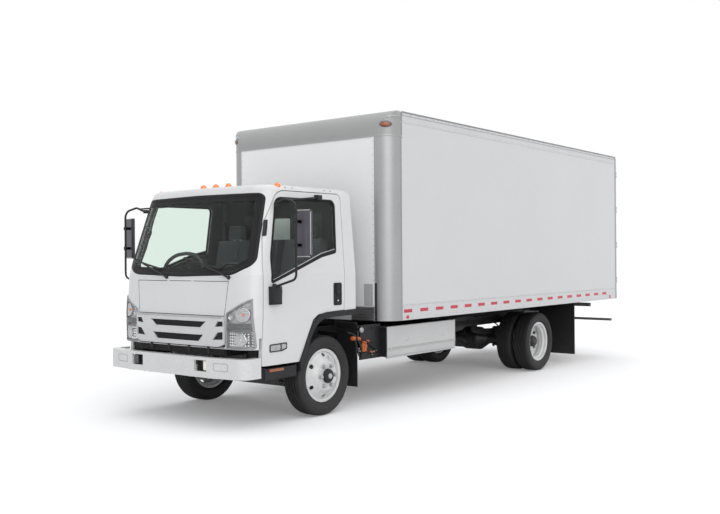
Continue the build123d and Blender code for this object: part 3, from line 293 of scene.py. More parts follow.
F = {
    "cab_paint": cab_white(),
    "bumper_paint": finished("bumper white", (0.61, 0.61, 0.61), 0.27, mottle=0.015, wear=0.06, grain=800,
                             depth=0.00003, dust=0.2, dust_top=0.7, Coat_Weight=0.3),
    # The front wall is the side panels' laminate coloured brighter, 0.80 against 0.575: painted light,
    # standing for more light on the front than on the sides.
    "front_wall_painted_light": finished("front wall laminate painted brighter", (0.80, 0.80, 0.805), 0.34, mottle=0.012, patch=1.2,
                            wear=0.05, grain=260, depth=0.00006, Coat_Weight=0.2),
    "box_panel": finished("box panel laminate", (0.575, 0.575, 0.58), 0.34, mottle=0.012, patch=1.2,
                          wear=0.08, grain=260, depth=0.00006, dust=0.06, dust_top=1.6, Coat_Weight=0.2),
    "roof_sheet": finished("milled roof sheet", (0.42, 0.42, 0.425), 0.4, mottle=0.03, patch=1.5, grain=200,
                           depth=0.00006, dust=0.05, dust_top=3.4, Metallic=0.2),
    "cap_grey": finished("grey cap enamel", (0.33, 0.33, 0.33), 0.38, mottle=0.02, patch=2, grain=300,
                         depth=0.00004, Metallic=0.2),
    "grey_aluminium": finished("satin grey aluminium", (0.37, 0.37, 0.375), 0.4, mottle=0.03, patch=2,
                               stretch=(40, 40, 2), grain=60, depth=0.00003, Metallic=0.6),
    "rail_white": finished("white rail enamel", (0.56, 0.56, 0.565), 0.36, mottle=0.02, patch=2, wear=0.08,
                           dust=0.1, dust_top=1.2),
    "bright_aluminium": finished("bright aluminium sheet", (0.55, 0.55, 0.55), 0.42, mottle=0.025, patch=3,
                                 stretch=(3, 60, 60), grain=40, depth=0.00003, dust=0.25,
                                 dust_top=0.8, Metallic=0.35),
    "chrome": finished("bright chrome", (0.86, 0.86, 0.87), 0.10, mottle=0.01, wear=0.05,
                       depth=0.00001, Metallic=1.0),
    "reflector": finished("lamp reflector", (0.62, 0.62, 0.63), 0.2, mottle=0.12, patch=60,
                          depth=0.00001, Metallic=0.85),
    # Grey for the bumper's pressed outline: painted shade, the bumper's own white paint darkened where the
    # pressing's side walls would be in shade.
    "pressing_painted_shade": finished("bumper pressing painted shade", (0.36, 0.36, 0.36), 0.4, mottle=0.03, depth=0.00003),
    "nut_paint": finished("painted wheel nuts", (0.46, 0.46, 0.465), 0.36, mottle=0.06,
                          patch=30, Metallic=0.25),
    "nut_steel": finished("zinc plated steel", (0.62, 0.62, 0.61), 0.30, mottle=0.06, patch=30, Metallic=0.8),
    "frame_paint": finished("black chassis paint", (0.018, 0.018, 0.019), 0.42, mottle=0.25, wear=0.2,
                            dust=0.22, dust_top=0.9, depth=0.0002, grain=180),
    "cast_block": finished("rough cast iron", (0.075, 0.073, 0.07), 0.62, mottle=0.2, grain=220,
                           depth=0.0008, Metallic=0.4),
    "exhaust_steel": finished("heat dulled steel", (0.20, 0.185, 0.165), 0.5, mottle=0.25, patch=6, wear=0.25,
                              depth=0.0002, Metallic=0.8),
    "underride_steel": finished("dark steel bar", (0.20, 0.20, 0.205), 0.42, mottle=0.15, patch=6,
                                dust=0.1, Metallic=0.5),
    "black_plastic": finished("grained black plastic", (0.014, 0.014, 0.016), 0.46, mottle=0.15, grain=900,
                              depth=0.00015, dust=0.06, dust_top=0.8, Specular_IOR_Level=0.3),
    "mirror_plastic": finished("mirror back plastic", (0.075, 0.070, 0.085), 0.38, mottle=0.08,
                               grain=700, depth=0.00008),
    "edge_grey": finished("light grey trim", (0.42, 0.42, 0.43), 0.35, mottle=0.05, Metallic=0.3),
    "dash_plastic": finished("grained dash plastic", (0.062, 0.062, 0.066), 0.6, mottle=0.15,
                             grain=500, depth=0.0003),
    "trim_grey": finished("grey cab trim", (0.085, 0.085, 0.088), 0.7, mottle=0.1, grain=420, depth=0.0003),
    "rubber": finished("black rubber sheet", (0.005, 0.005, 0.0055), 0.6, mottle=0.2, dust=0.07, dust_top=0.6,
                       depth=0.0002, grain=300),
    "seal": finished("black window seal", (0.009, 0.009, 0.010), 0.45, mottle=0.1, depth=0.00005,
                     Specular_IOR_Level=0.2),
    "tyre": finished("tyre rubber", (0.010, 0.010, 0.011), 0.66, mottle=0.2, patch=8, dust=0.07, dust_top=0.6,
                     grain=500, depth=0.0002, wear=0.14),
    "wheel_paint": finished("wheel enamel white", (0.63, 0.63, 0.63), 0.28, mottle=0.03, patch=7, dust=0.22,
                            dust_top=0.8, Coat_Weight=0.25),
    "grille_plastic": finished("light grey grille", (0.57, 0.57, 0.575), 0.33, mottle=0.03, depth=0.00003,
                               Coat_Weight=0.2),
    "seat_fabric": woven(),
    "deck_wood": boards(),
    "clear_glass": glass("green tinted glass", (0.86, 0.93, 0.89)),
    "lamp_lens": clear_cover("clear lamp lens"),
    "lamp_silver": finished("silver lamp body", (0.34, 0.34, 0.35), 0.3, mottle=0.05, grain=400,
                            depth=0.00003, Metallic=0.5),
    "lamp_dark": finished("dark lamp surround", (0.10, 0.10, 0.105), 0.35, mottle=0.06,
                          depth=0.00003, Metallic=0.3),
    "amber_lens": lens("amber lens", (0.80, 0.19, 0.025), 0.06),
    "amber_dim": lens("dark amber lens", (0.27, 0.065, 0.013)),
    "red_lens": lens("red lens", (0.62, 0.02, 0.02), 0.05),
    "white_lens": lens("cream lens", (0.80, 0.76, 0.66), 0.05),
    "orange": finished("orange nylon", (0.50, 0.11, 0.022), 0.45, mottle=0.15, patch=20,
                       dust=0.2, dust_top=1.0),
    "red_tape": chequered("red sheeting", (0.46, 0.004, 0.03), (0.54, 0.02, 0.05)),
    "silver_tape": chequered("silver sheeting", (0.52, 0.535, 0.545), (0.62, 0.635, 0.645)),
    "mirror_glass": finished("mirror glass", (0.80, 0.82, 0.84), 0.06, mottle=0.005, wear=0.02,
                             depth=0.000005, Metallic=1.0),
}


# ---- meshes ----
def oblong(a0, a1, b0, b1, *radius):
    """The corners of an outline from (a0, b0) to (a1, b1), with a corner radius if one is given."""
    return [(a0, b0, *radius), (a1, b0, *radius), (a1, b1, *radius), (a0, b1, *radius)]


def bar(half, low, top):
    """The section of a flat strip: its half width, and its heights off the surface."""
    return [(-half, low), (-half, top), (half, top), (half, low)]


def arcs(corners, parts=7):
    """Points round an outline of (a, b, radius) corners."""
    points = []
    count = len(corners)
    for i, corner in enumerate(corners):
        here = Vector(corner[:2])
        radius = corner[2] if len(corner) > 2 else 0
        back = (Vector(corners[i - 1][:2]) - here).normalized()
        ahead = (Vector(corners[(i + 1) % count][:2]) - here).normalized()
        if radius <= 0 or abs(back.dot(ahead) + 1) < 1e-6:
            points.append(tuple(here))
            continue
        half_cos = sqrt((1 + back.dot(ahead)) / 2)
        half_sin = sqrt(1 - half_cos * half_cos)
        centre = here + (back + ahead).normalized() * (radius / half_sin)
        first = here + back * (radius * half_cos / half_sin) - centre
        last = here + ahead * (radius * half_cos / half_sin) - centre
        sweep = first.angle_signed(last)
        for k in range(parts + 1):
            points.append(tuple(centre + Matrix.Rotation(-sweep * k / parts, 2) @ first))
    return points


def dense(points, step, closed=True):
    """The same path with no stretch longer than step."""
    out = []
    last = len(points) if closed else len(points) - 1
    for i in range(last):
        a = Vector(points[i])
        b = Vector(points[(i + 1) % len(points)])
        parts = max(1, round((b - a).length / step))
        out += [tuple(a.lerp(b, k / parts)) for k in range(parts)]
    return out if closed else out + [tuple(points[-1])]


def set_off(points, by, closed=True):
    """A path moved sideways, outwards where it runs round a shape."""
    count = len(points)
    area = sum(points[i - 1][0] * points[i][1] - points[i][0] * points[i - 1][1] for i in range(count))
    turn = 1 if area > 0 or not closed else -1
    out = []
    for i, p in enumerate(points):
        before = Vector(points[i - 1] if closed or i else p)
        after = Vector(points[(i + 1) % count] if closed or i < count - 1 else p)
        along = (after - before).normalized()
        out.append((p[0] + along.y * by * turn, p[1] - along.x * by * turn))
    return out


def bent(points, radius, parts=6):
    """A 3-D path with its corners rounded."""
    out = [Vector(points[0])]
    for before, here, after in zip(points, points[1:], points[2:]):
        here = Vector(here)
        back = Vector(before) - here
        ahead = Vector(after) - here
        reach = min(radius, back.length * 0.45, ahead.length * 0.45)
        start = here + back.normalized() * reach
        end = here + ahead.normalized() * reach
        for k in range(parts + 1):
            t = k / parts
            out.append(start * (1 - t) ** 2 + here * (2 * t * (1 - t)) + end * t**2)
    return out + [Vector(points[-1])]


class Piece:
    """Solids of one finish on one body, gathered into one mesh."""

    def __init__(self, name, body, slot, finish=None, smooth=32, both=False, side=1):
        self.name = name
        self.body = body
        self.slot = slot
        self.finish = F[finish or slot].material
        self.smooth = smooth
        self.both = both
        self.side = side
        self.mesh = bmesh.new()

    def take(self, part, bevel=0.0, segments=1):
        bmesh.ops.remove_doubles(part, verts=part.verts, dist=0.01)
        bmesh.ops.recalc_face_normals(part, faces=part.faces)
        if bevel:
            edges = [e for e in part.edges if len(e.link_faces) == 2 and e.calc_face_angle(0) > 0.5]
            bmesh.ops.bevel(part, geom=edges, offset=bevel, segments=segments, affect="EDGES",
                            clamp_overlap=True)
        held = bpy.data.meshes.new("part")
        part.to_mesh(held)
        part.free()
        self.mesh.from_mesh(held)
        bpy.data.meshes.remove(held)

    def rings(self, rings, closed_along=False, bevel=0.0, segments=1, turn=None):
        """A skin over rings of points, each one cross section; turn is (axis, degrees, centre)."""
        part = bmesh.new()
        rows = [[part.verts.new(p) for p in ring] for ring in rings]
        width = len(rows[0])
        pairs = list(zip(rows, rows[1:]))
        if closed_along:
            pairs.append((rows[-1], rows[0]))
        for a, b in pairs:
            for i in range(width):
                j = (i + 1) % width
                part.faces.new((a[i], a[j], b[j], b[i]))
        if not closed_along:
            part.faces.new(rows[0])
            part.faces.new(rows[-1])
        if turn:
            axis, degrees, centre = turn
            spin = Matrix.Rotation(radians(degrees), 3, axis)
            bmesh.ops.rotate(part, verts=part.verts, cent=centre, matrix=spin)
        self.take(part, bevel, segments)

    def block(self, x, y, z, bevel=2.0, turn=None):
        """A box with broken edges; turn is (axis, degrees, centre)."""
        self.slab("z", oblong(x[0], x[1], y[0], y[1]), z, bevel, turn)

    def slab(self, axis, outline, span, bevel=2.0, turn=None, segments=1):
        """An outline carried along an axis."""
        points = arcs(outline)
        rings = [[plane_at(axis, t)(p) for p in points] for t in span]
        self.rings(rings, bevel=bevel, segments=segments, turn=turn)

    def turned(self, profile, centre, axis="x", steps=32, closed=False):
        """An (along, radius) profile turned about an axis through centre."""
        part = bmesh.new()
        c = Vector(centre)
        rows = []
        for along, radius in profile:
            row = []
            for k in range(1 if radius < 1e-6 else steps):
                a = 2 * pi * k / steps
                x, y = cos(a) * radius, sin(a) * radius
                across = {"x": (along, x, y), "y": (y, along, x), "z": (x, y, along)}[axis]
                row.append(part.verts.new(c + Vector(across)))
            rows.append(row)
        pairs = list(zip(rows, rows[1:]))
        if closed:
            pairs.append((rows[-1], rows[0]))
        for a, b in pairs:
            for k in range(steps):
                j = (k + 1) % steps
                if len(a) == 1 and len(b) == 1:
                    continue
                if len(a) == 1:
                    part.faces.new((a[0], b[k], b[j]))
                elif len(b) == 1:
                    part.faces.new((a[k], b[0], a[j]))
                else:
                    part.faces.new((a[k], b[k], b[j], a[j]))
        if not closed:
            for row in (rows[0], rows[-1]):
                if len(row) > 1:
                    part.faces.new(row)
        self.take(part)

    def tube(self, points, radius, steps=10, bend=0.0, flat=1.0):
        """A round bar along a path, its corners rounded by bend."""
        path = bent(points, bend) if bend else [Vector(p) for p in points]
        rings = []
        side = None
        for i, p in enumerate(path):
            before = path[max(i - 1, 0)]
            after = path[min(i + 1, len(path) - 1)]
            along = (after - before).normalized()
            if side is None:
                side = along.orthogonal().normalized()
            side = (side - along * side.dot(along)).normalized()
            up = along.cross(side)
            angles = [2 * pi * k / steps for k in range(steps)]
            rings.append([p + side * (cos(a) * radius) + up * (sin(a) * radius * flat) for a in angles])
        self.rings(rings)

    def band(self, path, section, place, closed=True, step=40):
        """A strip along a path on a surface; section is (aside, height) points, place puts them in space."""
        path = dense(path, step, closed)
        lines = [set_off(path, aside, closed) for aside, _ in section]
        rings = [[place(lines[j][i], section[j][1]) for j in range(len(section))] for i in range(len(path))]
        self.rings(rings, closed_along=closed)

    def strip(self, path, section, place, step=40):
        """A band along a path with two ends."""
        self.band(path, section, place, closed=False, step=step)

    def dome(self, centre, axis, radius, height, steps=10):
        """A low round head; axis is x, y or z, and a negative height faces the other way."""
        profile = [(0, radius), (height * 0.55, radius * 0.86), (height, radius * 0.4), (height, 0)]
        self.turned([(0, 0), *profile], centre, axis, steps)

    def copies(self, item, count, start=(0, 0, 0), step=(0, 0, 0), turn=(0, 0, 0)):
        """Even copies of a small mesh, moved by step and turned by turn from one to the next."""
        self.mesh.from_mesh(repeated(item, count, start, step, turn, self.finish))

    def slabs(self, axis, outline, span, bevel, count, start, step):
        """Even copies of one slab."""
        item = Item()
        item.slab(axis, outline, span, bevel)
        self.copies(item.as_mesh(), count, start, step)

    def done(self, replaces=()):
        mesh = bpy.data.meshes.new(self.name)
        if self.both or self.side < 0:
            held = bpy.data.meshes.new("half")
            self.mesh.to_mesh(held)
            if self.side < 0:
                self.mesh.clear()
            other = bmesh.new()
            other.from_mesh(held)
            for v in other.verts:
                v.co.x = -v.co.x
            bmesh.ops.reverse_faces(other, faces=other.faces)
            other.to_mesh(held)
            other.free()
            self.mesh.from_mesh(held)
            bpy.data.meshes.remove(held)
        for v in self.mesh.verts:
            v.co = (v.co.x * MM, (v.co.y - MID_Y) * MM, v.co.z * MM)
        for f in self.mesh.faces:
            f.material_index = 0
            f.smooth = True
        self.mesh.to_mesh(mesh)
        self.mesh.free()
        mesh.materials.clear()
        mesh.materials.append(self.finish)
        mesh.set_sharp_from_angle(angle=radians(self.smooth))
        piece = bpy.data.objects.new(self.name, mesh)
        bpy.context.scene.collection.objects.link(piece)
        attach(piece, self.body)
        if replaces:
            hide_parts(*replaces)
        return piece


def added(tree, kind, inputs=None, **settings):
    """A node with its settings; each input is linked to a socket or set to a value."""
    node = tree.nodes.new(kind)
    for key, value in settings.items():
        setattr(node, key, value)
    for key, value in (inputs or {}).items():
        if isinstance(value, bpy.types.NodeSocket):
            tree.links.new(value, node.inputs[key])
        else:
            node.inputs[key].default_value = value
    return node


def repeat_tree():
    """Copies of one object along a line, each turned a little more than the last."""
    tree = bpy.data.node_groups.new("Even copies", "GeometryNodeTree")
    face = tree.interface
    sockets = {}
    for name, kind in (("Item", "Object"), ("Count", "Int"), ("Start", "Vector"), ("Step", "Vector"),
                       ("Turn", "Vector"), ("Finish", "Material")):
        sockets[name] = face.new_socket(name, in_out="INPUT", socket_type="NodeSocket" + kind).identifier
    face.new_socket("Mesh", in_out="OUTPUT", socket_type="NodeSocketGeometry")
    given = added(tree, "NodeGroupInput").outputs
    index = added(tree, "GeometryNodeInputIndex").outputs[0]
    where = added(tree, "ShaderNodeVectorMath", {0: given["Step"], 1: index, 2: given["Start"]},
                  operation="MULTIPLY_ADD")
    angle = added(tree, "ShaderNodeVectorMath", {0: given["Turn"], 1: index}, operation="MULTIPLY")
    spin = added(tree, "FunctionNodeEulerToRotation", {0: angle.outputs[0]})
    points = added(tree, "GeometryNodePoints", {"Count": given["Count"], "Position": where.outputs[0]})
    item = added(tree, "GeometryNodeObjectInfo", {"Object": given["Item"]})
    inputs = {"Points": points.outputs[0], "Instance": item.outputs["Geometry"], "Rotation": spin.outputs[0]}
    placed = added(tree, "GeometryNodeInstanceOnPoints", inputs)
    real = added(tree, "GeometryNodeRealizeInstances", {0: placed.outputs[0]})
    inputs = {"Geometry": real.outputs[0], "Material": given["Finish"]}
    coloured = added(tree, "GeometryNodeSetMaterial", inputs)
    added(tree, "NodeGroupOutput", {0: coloured.outputs[0]})
    return tree, sockets


REPEAT, REPEAT_INPUTS = repeat_tree()


def repeated(item, count, start, step, turn, finish):
    """The plain mesh of count copies of an item's mesh."""
    held = item if isinstance(item, bpy.types.Mesh) else item.as_mesh()
    seed = bpy.data.objects.new("item", held)
    host = bpy.data.objects.new("copies", bpy.data.meshes.new("copies"))
    for o in (seed, host):
        bpy.context.scene.collection.objects.link(o)
    modifier = host.modifiers.new("Even copies", "NODES")
    modifier.node_group = REPEAT
    values = {"Item": seed, "Count": count, "Start": start, "Step": step, "Turn": turn, "Finish": finish}
    for name, value in values.items():
        modifier[REPEAT_INPUTS[name]] = value
    graph = bpy.context.evaluated_depsgraph_get()
    made = bpy.data.meshes.new_from_object(host.evaluated_get(graph))
    host.modifiers.remove(modifier)
    bpy.data.objects.remove(host)
    bpy.data.objects.remove(seed)
    return made


class Item(Piece):
    """A small shape made once, round the origin, to be copied by a piece."""

    def __init__(self):
        self.mesh = bmesh.new()

    def as_mesh(self):
        mesh = bpy.data.meshes.new("item")
        self.mesh.to_mesh(mesh)
        self.mesh.free()
        return mesh


def rivet(axis, radius=5.0, height=2.5, steps=7):
    item = Item()
    item.dome((0, 0, 0), axis, radius, height, steps)
    return item.as_mesh()


def hexagon(axis, across, thick):
    """A nut or bolt head whose seat is at the origin, facing +X."""
    item = Item()
    r = across / sqrt(3)
    points = [(cos(radians(60 * k)) * r, sin(radians(60 * k)) * r) for k in range(6)]
    item.slab(axis, points, sorted((0, thick)), 1.2)
    return item.as_mesh()


# ---- the cab's own surface ----
# height, half width, front line and corner radius, from the sill to the roof
CAB = ((560, 988, -1100, 232), (1053, 997, -1095, 235), (1440, 997, -1074, 255), (2215, 925, -826, 250),
       (2305, 908, -797, 240))
# how far the front bulges between its corners
CROWN = 20


def cab_plan(z, out):
    """Half width, front line and corner radius of the cab at a height, out from its skin."""
    z = min(max(z, CAB[0][0]), CAB[-1][0])
    for low, top in zip(CAB, CAB[1:]):
        if z <= top[0]:
            t = (z - low[0]) / (top[0] - low[0])
            w, front, r = (low[i] + (top[i] - low[i]) * t for i in (1, 2, 3))
            return w + out, front - out, r + out


def on_front(p, out=0.0):
    """The point of the cab's front at (x, z)."""
    x, z = p
    w, front, r = cab_plan(z, out)
    a = w - r
    if abs(x) <= a:
        y = front + CROWN * (x / a) ** 2
    else:
        y = front + CROWN + r - sqrt(max(r * r - (abs(x) - a) ** 2, 0))
    return (x, y, z)


def on_side(p, out=0.0):
    """The point of the cab's left side at (y, z)."""
    y, z = p
    w, front, r = cab_plan(z, out)
    ahead = front + CROWN + r - y
    x = w if ahead <= 0 else w - r + sqrt(max(r * r - ahead * ahead, 0))
    return (x, y, z)


def plane_at(axis, at, face=1):
    """Places (a, b) points on a flat face across an axis, raised towards face."""
    def place(p, out=0.0):
        level = at + out * face
        return {"x": (level, p[0], p[1]), "y": (p[0], level, p[1]), "z": (p[0], p[1], level)}[axis]
    return place


WINDSCREEN = [(716, 1450, 300), (905, 1545, 90), (838, 2205, 60), (0, 2214), (-838, 2205, 60),
              (-905, 1545, 90), (-716, 1450, 300), (0, 1432)]
DOOR_WINDOW = [(-822, 1362, 15), (-812, 1600, 400), (-672, 2172, 70), (172, 2178, 60), (135, 1650, 30),
               (-93, 1607, 200)]
REAR_WINDOW = oblong(-560, 560, 1500, 2050, 60)


# ---- wheels ----
BLOCKS = 60
NUTS = 6
BOLT_CIRCLE = 222.25


def tread_item(half, reach):
    """One pitch of tread: five rows of blocks across the tyre, at the top of the wheel."""
    item = Item()
    rows = ((-half + 1, -half + 31, 0), (-half + 40, -half + 62, 6), (-12, 12, 0), (half - 62, half - 40, 6),
            (half - 31, half - 1, 0))
    pitch = 2 * pi * reach / BLOCKS
    for x0, x1, lag in rows:
        outer = abs(x0 + x1) / 2 > half * 0.6
        low = reach - 16
        across = pitch * (0.40 if outer else 0.43)
        drop = 5 if outer else 0
        for y in (lag - pitch / 4, lag + pitch / 4):
            a = across / 2
            top = [(x0, reach - (drop if x0 < 0 else 0)), (x1, reach - (drop if x1 > 0 else 0)),
                   (x1, low), (x0, low)]
            item.slab("y", top, (y - a, y + a), 1.6)
    return item.as_mesh()


def tyre(piece, x, y):
    """A tyre whose middle plane is at x: carcass with bead rings, then its tread blocks."""
    half, tread, top, bead = 113, 88, 405, 267
    depth = top - bead
    wall = [(tread - 2, top - 11), (tread + 8, top - 14), (tread + 17, top - 24),
            (half - 4, bead + 0.72 * depth), (half, bead + 0.60 * depth), (half + 0.5, bead + 0.50 * depth),
            (half - 1, bead + 0.44 * depth), (half - 0.5, bead + 0.42 * depth),
            (half - 2, bead + 0.40 * depth), (half - 5, bead + 0.30 * depth),
            (half - 12, bead + 0.18 * depth), (half - 12, bead + 0.155 * depth),
            (half - 15, bead + 0.14 * depth), (82, bead + 6), (76, bead + 1), (72, 252)]
    profile = wall + [(-a, r) for a, r in reversed(wall)]
    centre = (x, y, AXLE_Z)
    piece.turned(profile, centre, "x", 120, closed=True)
    piece.copies(tread_item(tread, top - 0.6), BLOCKS, centre, turn=(2 * pi / BLOCKS, 0, 0))
    lug = Item()
    lug.slab("y", [(tread + 2, top - 26), (tread + 9, top - 14.5), (tread + 17, top - 25),
                   (half - 6, bead + 98)], (-5, 5), 1.2)
    lug.slab("y", [(-tread - 2, top - 26), (-tread - 9, top - 14.5), (-tread - 17, top - 25),
                   (6 - half, bead + 98)], (-5, 5), 1.2)
    piece.copies(lug.as_mesh(), BLOCKS, centre, turn=(2 * pi / BLOCKS, 0, 0))


def rim_lip(x):
    """The section of a rim's edge whose inner end is at x."""
    return [(x, 268.5), (x + 8, 269.5), (x + 10, 266), (x + 10, 258), (x + 7, 256.5), (x, 260)]


def wheel_nuts(piece, seat_x, y):
    """Nuts on the bolt circle, each on its washer with the stud's end showing."""
    item = Item()
    r = BOLT_CIRCLE / 2
    place = (0, sin(radians(30)) * r, cos(radians(30)) * r)
    item.turned([(0, 0), (-0.5, 24), (4.5, 24), (6, 22), (6, 0)], place, "x", 18)
    points = [(place[1] + cos(radians(60 * k)) * 19.5, place[2] + sin(radians(60 * k)) * 19.5)
              for k in range(6)]
    item.slab("x", points, (5, 30), 1.8)
    item.turned([(28, 0), (28, 17.5), (36, 16.8), (39, 14), (39, 0)], place, "x", 14)
    piece.copies(item.as_mesh(), NUTS, (seat_x, y, AXLE_Z), turn=(2 * pi / NUTS, 0, 0))


for name, side in SIDES.items():
    body = "front_wheel_" + name
    rubber = Piece("front_tread_" + name, body, "tyre", smooth=30)
    tyre(rubber, side * 832, 0)
    rubber.done(replaces=["front_tyre_" + name])

    steel = Piece("front_wheel_nuts_" + name, body, "wheel_paint", "nut_paint", side=side)
    wheel_nuts(steel, 964, 0)
    steel.turned([(998, 0), (999.5, 24), (1000.5, 26), (1011, 27), (1015, 24), (1017, 15), (1017, 0)],
                 FRONT_HUB, "x", 40)
    steel.turned([(960, 72.5), (966, 76), (972, 75), (973, 72)], FRONT_HUB, "x", 48, closed=True)
    steel.done()
    hub = Piece("front_hub_cap_" + name, body, "wheel_paint", "black_plastic", side=side)
    hub.turned([(966, 74.5), (990, 70), (998, 64), (1001.5, 52), (1001.5, 27), (999.5, 26), (999, 60),
                (992, 67), (966, 73)], FRONT_HUB, "x", 56, closed=True)
    hub.done()
    valve = Piece("front_valve_" + name, body, "wheel_paint", "chrome", side=side)
    valve.tube([(900, 40, 590), (930, 44, 596), (962, 42, 586)], 4.2, 8, bend=12)
    valve.turned([(956, 0), (956, 6), (970, 6), (973, 4), (973, 0)], (0, 42, 586), "x", 10)
    valve.done()
    lining = Piece("front_rim_lip_" + name, body, "wheel_paint", side=side)
    lining.turned(rim_lip(909), FRONT_HUB, "x", 96, closed=True)
    rim_edge = Item()
    rim_edge.band(arcs(oblong(-31, 31, -23, 23, 22), 5), [(-2, -1), (4.5, -1), (4.5, 1.2), (1, 3), (-2, 1.5)],
                  lambda p, out: (909.5 + out * 0.82 - p[1] * 0.5736, p[0],
                                  206.4 + out * 0.5736 + p[1] * 0.8192))
    lining.copies(rim_edge.as_mesh(), 6, FRONT_HUB, turn=(pi / 3, 0, 0))
    lining.done()

    body = "rear_wheel_" + name
    rubber = Piece("rear_tread_" + name, body, "tyre", smooth=30)
    tyre(rubber, side * 696, REAR_AXLE_Y)
    tyre(rubber, side * 960, REAR_AXLE_Y)
    rubber.done(replaces=["rear_tyres_" + name])
    steel = Piece("rear_wheel_nuts_" + name, body, "wheel_paint", "nut_paint", side=side)
    wheel_nuts(steel, 837, REAR_AXLE_Y)
    steel.done()
    hub = Piece("rear_hub_cap_" + name, body, "wheel_paint", "frame_paint", side=side)
    hub.turned([(838, 82), (950, 77), (985, 64.5), (989.5, 58), (991, 40), (991, 0), (986, 0), (986, 56),
                (950, 73), (838, 78)], REAR_HUB, "x", 48)
    held = hexagon("x", 17, 9)
    for v in held.vertices:
        v.co = (v.co.x + 990, v.co.y, v.co.z + 42)
    hub.copies(held, 8, REAR_HUB, turn=(2 * pi / 8, 0, 0))
    hub.done()
    valve = Piece("rear_valve_" + name, body, "wheel_paint", "chrome", side=side)
    valve.tube([(890, REAR_AXLE_Y + 60, 590), (950, REAR_AXLE_Y + 62, 602), (1015, REAR_AXLE_Y + 64, 606)],
               4.2, 8, bend=20)
    valve.done()
    lining = Piece("rear_rim_lip_" + name, body, "wheel_paint", side=side)
    lining.turned(rim_lip(1037), REAR_HUB, "x", 96, closed=True)
    lining.done()
    drum = Piece("brake_backplate_" + name, "knuckle_" + name, "frame_paint", side=side)
    drum.turned([(764, 60), (764, 150), (768, 158), (771, 158), (771, 60)], FRONT_HUB, "x", 48, closed=True)
    drum.tube([(760, -70, 470), (740, -110, 520), (700, -120, 560)], 11, 10, bend=30)
    drum.done()


# ---- windscreen, wipers and cab glass seals ----
seal = Piece("windscreen_seal", "cab", "clear_glass", "seal", smooth=45)
seal.band(arcs(WINDSCREEN), [(-24, -6), (-24, -1.5), (-19, 2), (-4, 4), (9, 3.5), (13, 0.5), (13, -2),
                             (0, -7)], on_front, step=45)
seal.band(arcs(REAR_WINDOW), [(-16, 0), (-14, 8), (8, 8), (12, 4), (12, 0)], plane_at("y", 424), step=90)
seal.done()
frit = Piece("windscreen_border", "cab", "clear_glass", "seal", smooth=45)
frit.band(arcs(WINDSCREEN), [(-66, -6.5), (-66, -1.2), (-18, -1.2), (-18, -6.5)], on_front, step=45)
for x in range(-640, 660, 40):
    frit.dome(on_front((x, 1512 - abs(x) * 0.01), -1.6), "y", 5, -1.2, 8)
frit.done()

wiper = Piece("wipers", "cab", "black_plastic", smooth=40)
for pivot_x in (672, -200):
    px, py, pz = on_front((pivot_x, 1416), 2)
    wiper.turned([(2, 0), (2, 19), (-8, 19), (-17, 15), (-24, 9), (-24, 0)], (px, py, pz), "y", 20)
    tip = (pivot_x - 400, 1545)
    mid = (pivot_x - 130, 1470)
    arm = [(px, py - 16, pz), on_front(mid, 34), on_front(tip, 26)]
    wiper.tube(arm, 8.5, 8, bend=60, flat=0.6)
    wiper.block((px - 34, px - 8), (py - 27, py - 12), (pz + 4, pz + 22), 4)
    blade = [(tip[0] + t, tip[1] - t * 0.20 + abs(t) * 0.02) for t in range(-270, 271, 30)]
    wiper.strip(blade, [(-9, 1.5), (-2, 1.5), (-2, 7), (5, 9), (5, 15), (-5, 16), (-9, 9)], on_front)
    wiper.block((tip[0] - 16, tip[0] + 16), (on_front(tip, 28)[1], on_front(tip, 12)[1]), (1537, 1556), 4)
wiper.done()

pane = Piece("pillar_vents", "cab", "black_plastic", both=True)
pane.strip([(915, 1804), (906, 1880), (895, 1957)], [(-11, -2), (-11, 5), (-6, 8), (6, 8), (11, 5), (11, -2)],
           on_front, step=20)
pane.done()


# ---- nose: seams, grille mesh, headlamps ----
lines = Piece("cab_seams", "cab", "cab_paint", "seal")
for path, half in (([(-627, 1053), (627, 1053)], 1.8), ([(665, 1379), (-665, 1379)], 2.4),
                   ([(627, 1053), (665, 1379)], 0.7), ([(-665, 1379), (-627, 1053)], 0.7)):
    lines.strip(path, bar(half, -2, 0.5), on_front, step=30)
for y in (-531, -431, 48, 142):
    for s in (-1, 1):
        lines.turned([(0, 0), (0, 8), (5, 8), (6, 5), (6, 0)], (s * 900, y, 2274), "z", 12)
lines.done()
ridge = Piece("nose_mouldings", "cab", "cab_paint", smooth=50)
for s in (-1, 1):
    ridge.strip([(s * 640, 1405), (s * 676, 1378), (s * 688, 1250), (s * 690, 1110)],
                [(-5, -2), (-3, 2.2), (3, 2.2), (5, -2)], on_front, step=25)
brow_line = [(t, 1412 - t * t * 0.000012) for t in range(-690, 691, 30)]
ridge.strip(brow_line, [(-7, -2), (-4, 2.6), (4, 2.6), (7, -2)], on_front)
ridge.done()

mesh = Piece("grille_mesh", "cab", "grille_plastic", "black_plastic")
mesh.strip([(-640, 905), (640, 905)], [(-135, 2.5), (-135, 7), (140, 7), (140, 2.5)], on_front, step=60)
for low, high, reach in ((936, 1000, 405), (804, 872, 370)):
    for z in range(low + 8, high, 14):
        mesh.strip([(-reach, z), (reach, z)], bar(2, 5, 13), on_front, step=60)
    stay = Item()
    stay.slab("z", oblong(-2.4, 2.4, 0, 6), (-34, 34), 0.8)
    held = stay.as_mesh()
    for x in range(-reach, reach + 1, 27):
        y = on_front((x, (low + high) / 2), 14)[1]
        mesh.copies(held, 1, (x, y, (low + high) / 2))
for s in (-1, 1):
    for z in (835, 850, 865, 880, 895, 958, 970, 982, 994):
        mesh.strip([(s * 505, z), (s * 634, z)], bar(2.5, 5, 12), on_front)
mesh.done()
brow = Piece("grille_brow", "cab", "grille_plastic", "edge_grey", smooth=50)
brow.strip([(t, 1040) for t in range(-622, 623, 40)], [(-9, 24), (-9, 29), (-3, 31.5), (7, 30), (9, 24)],
           on_front)
brow.done()
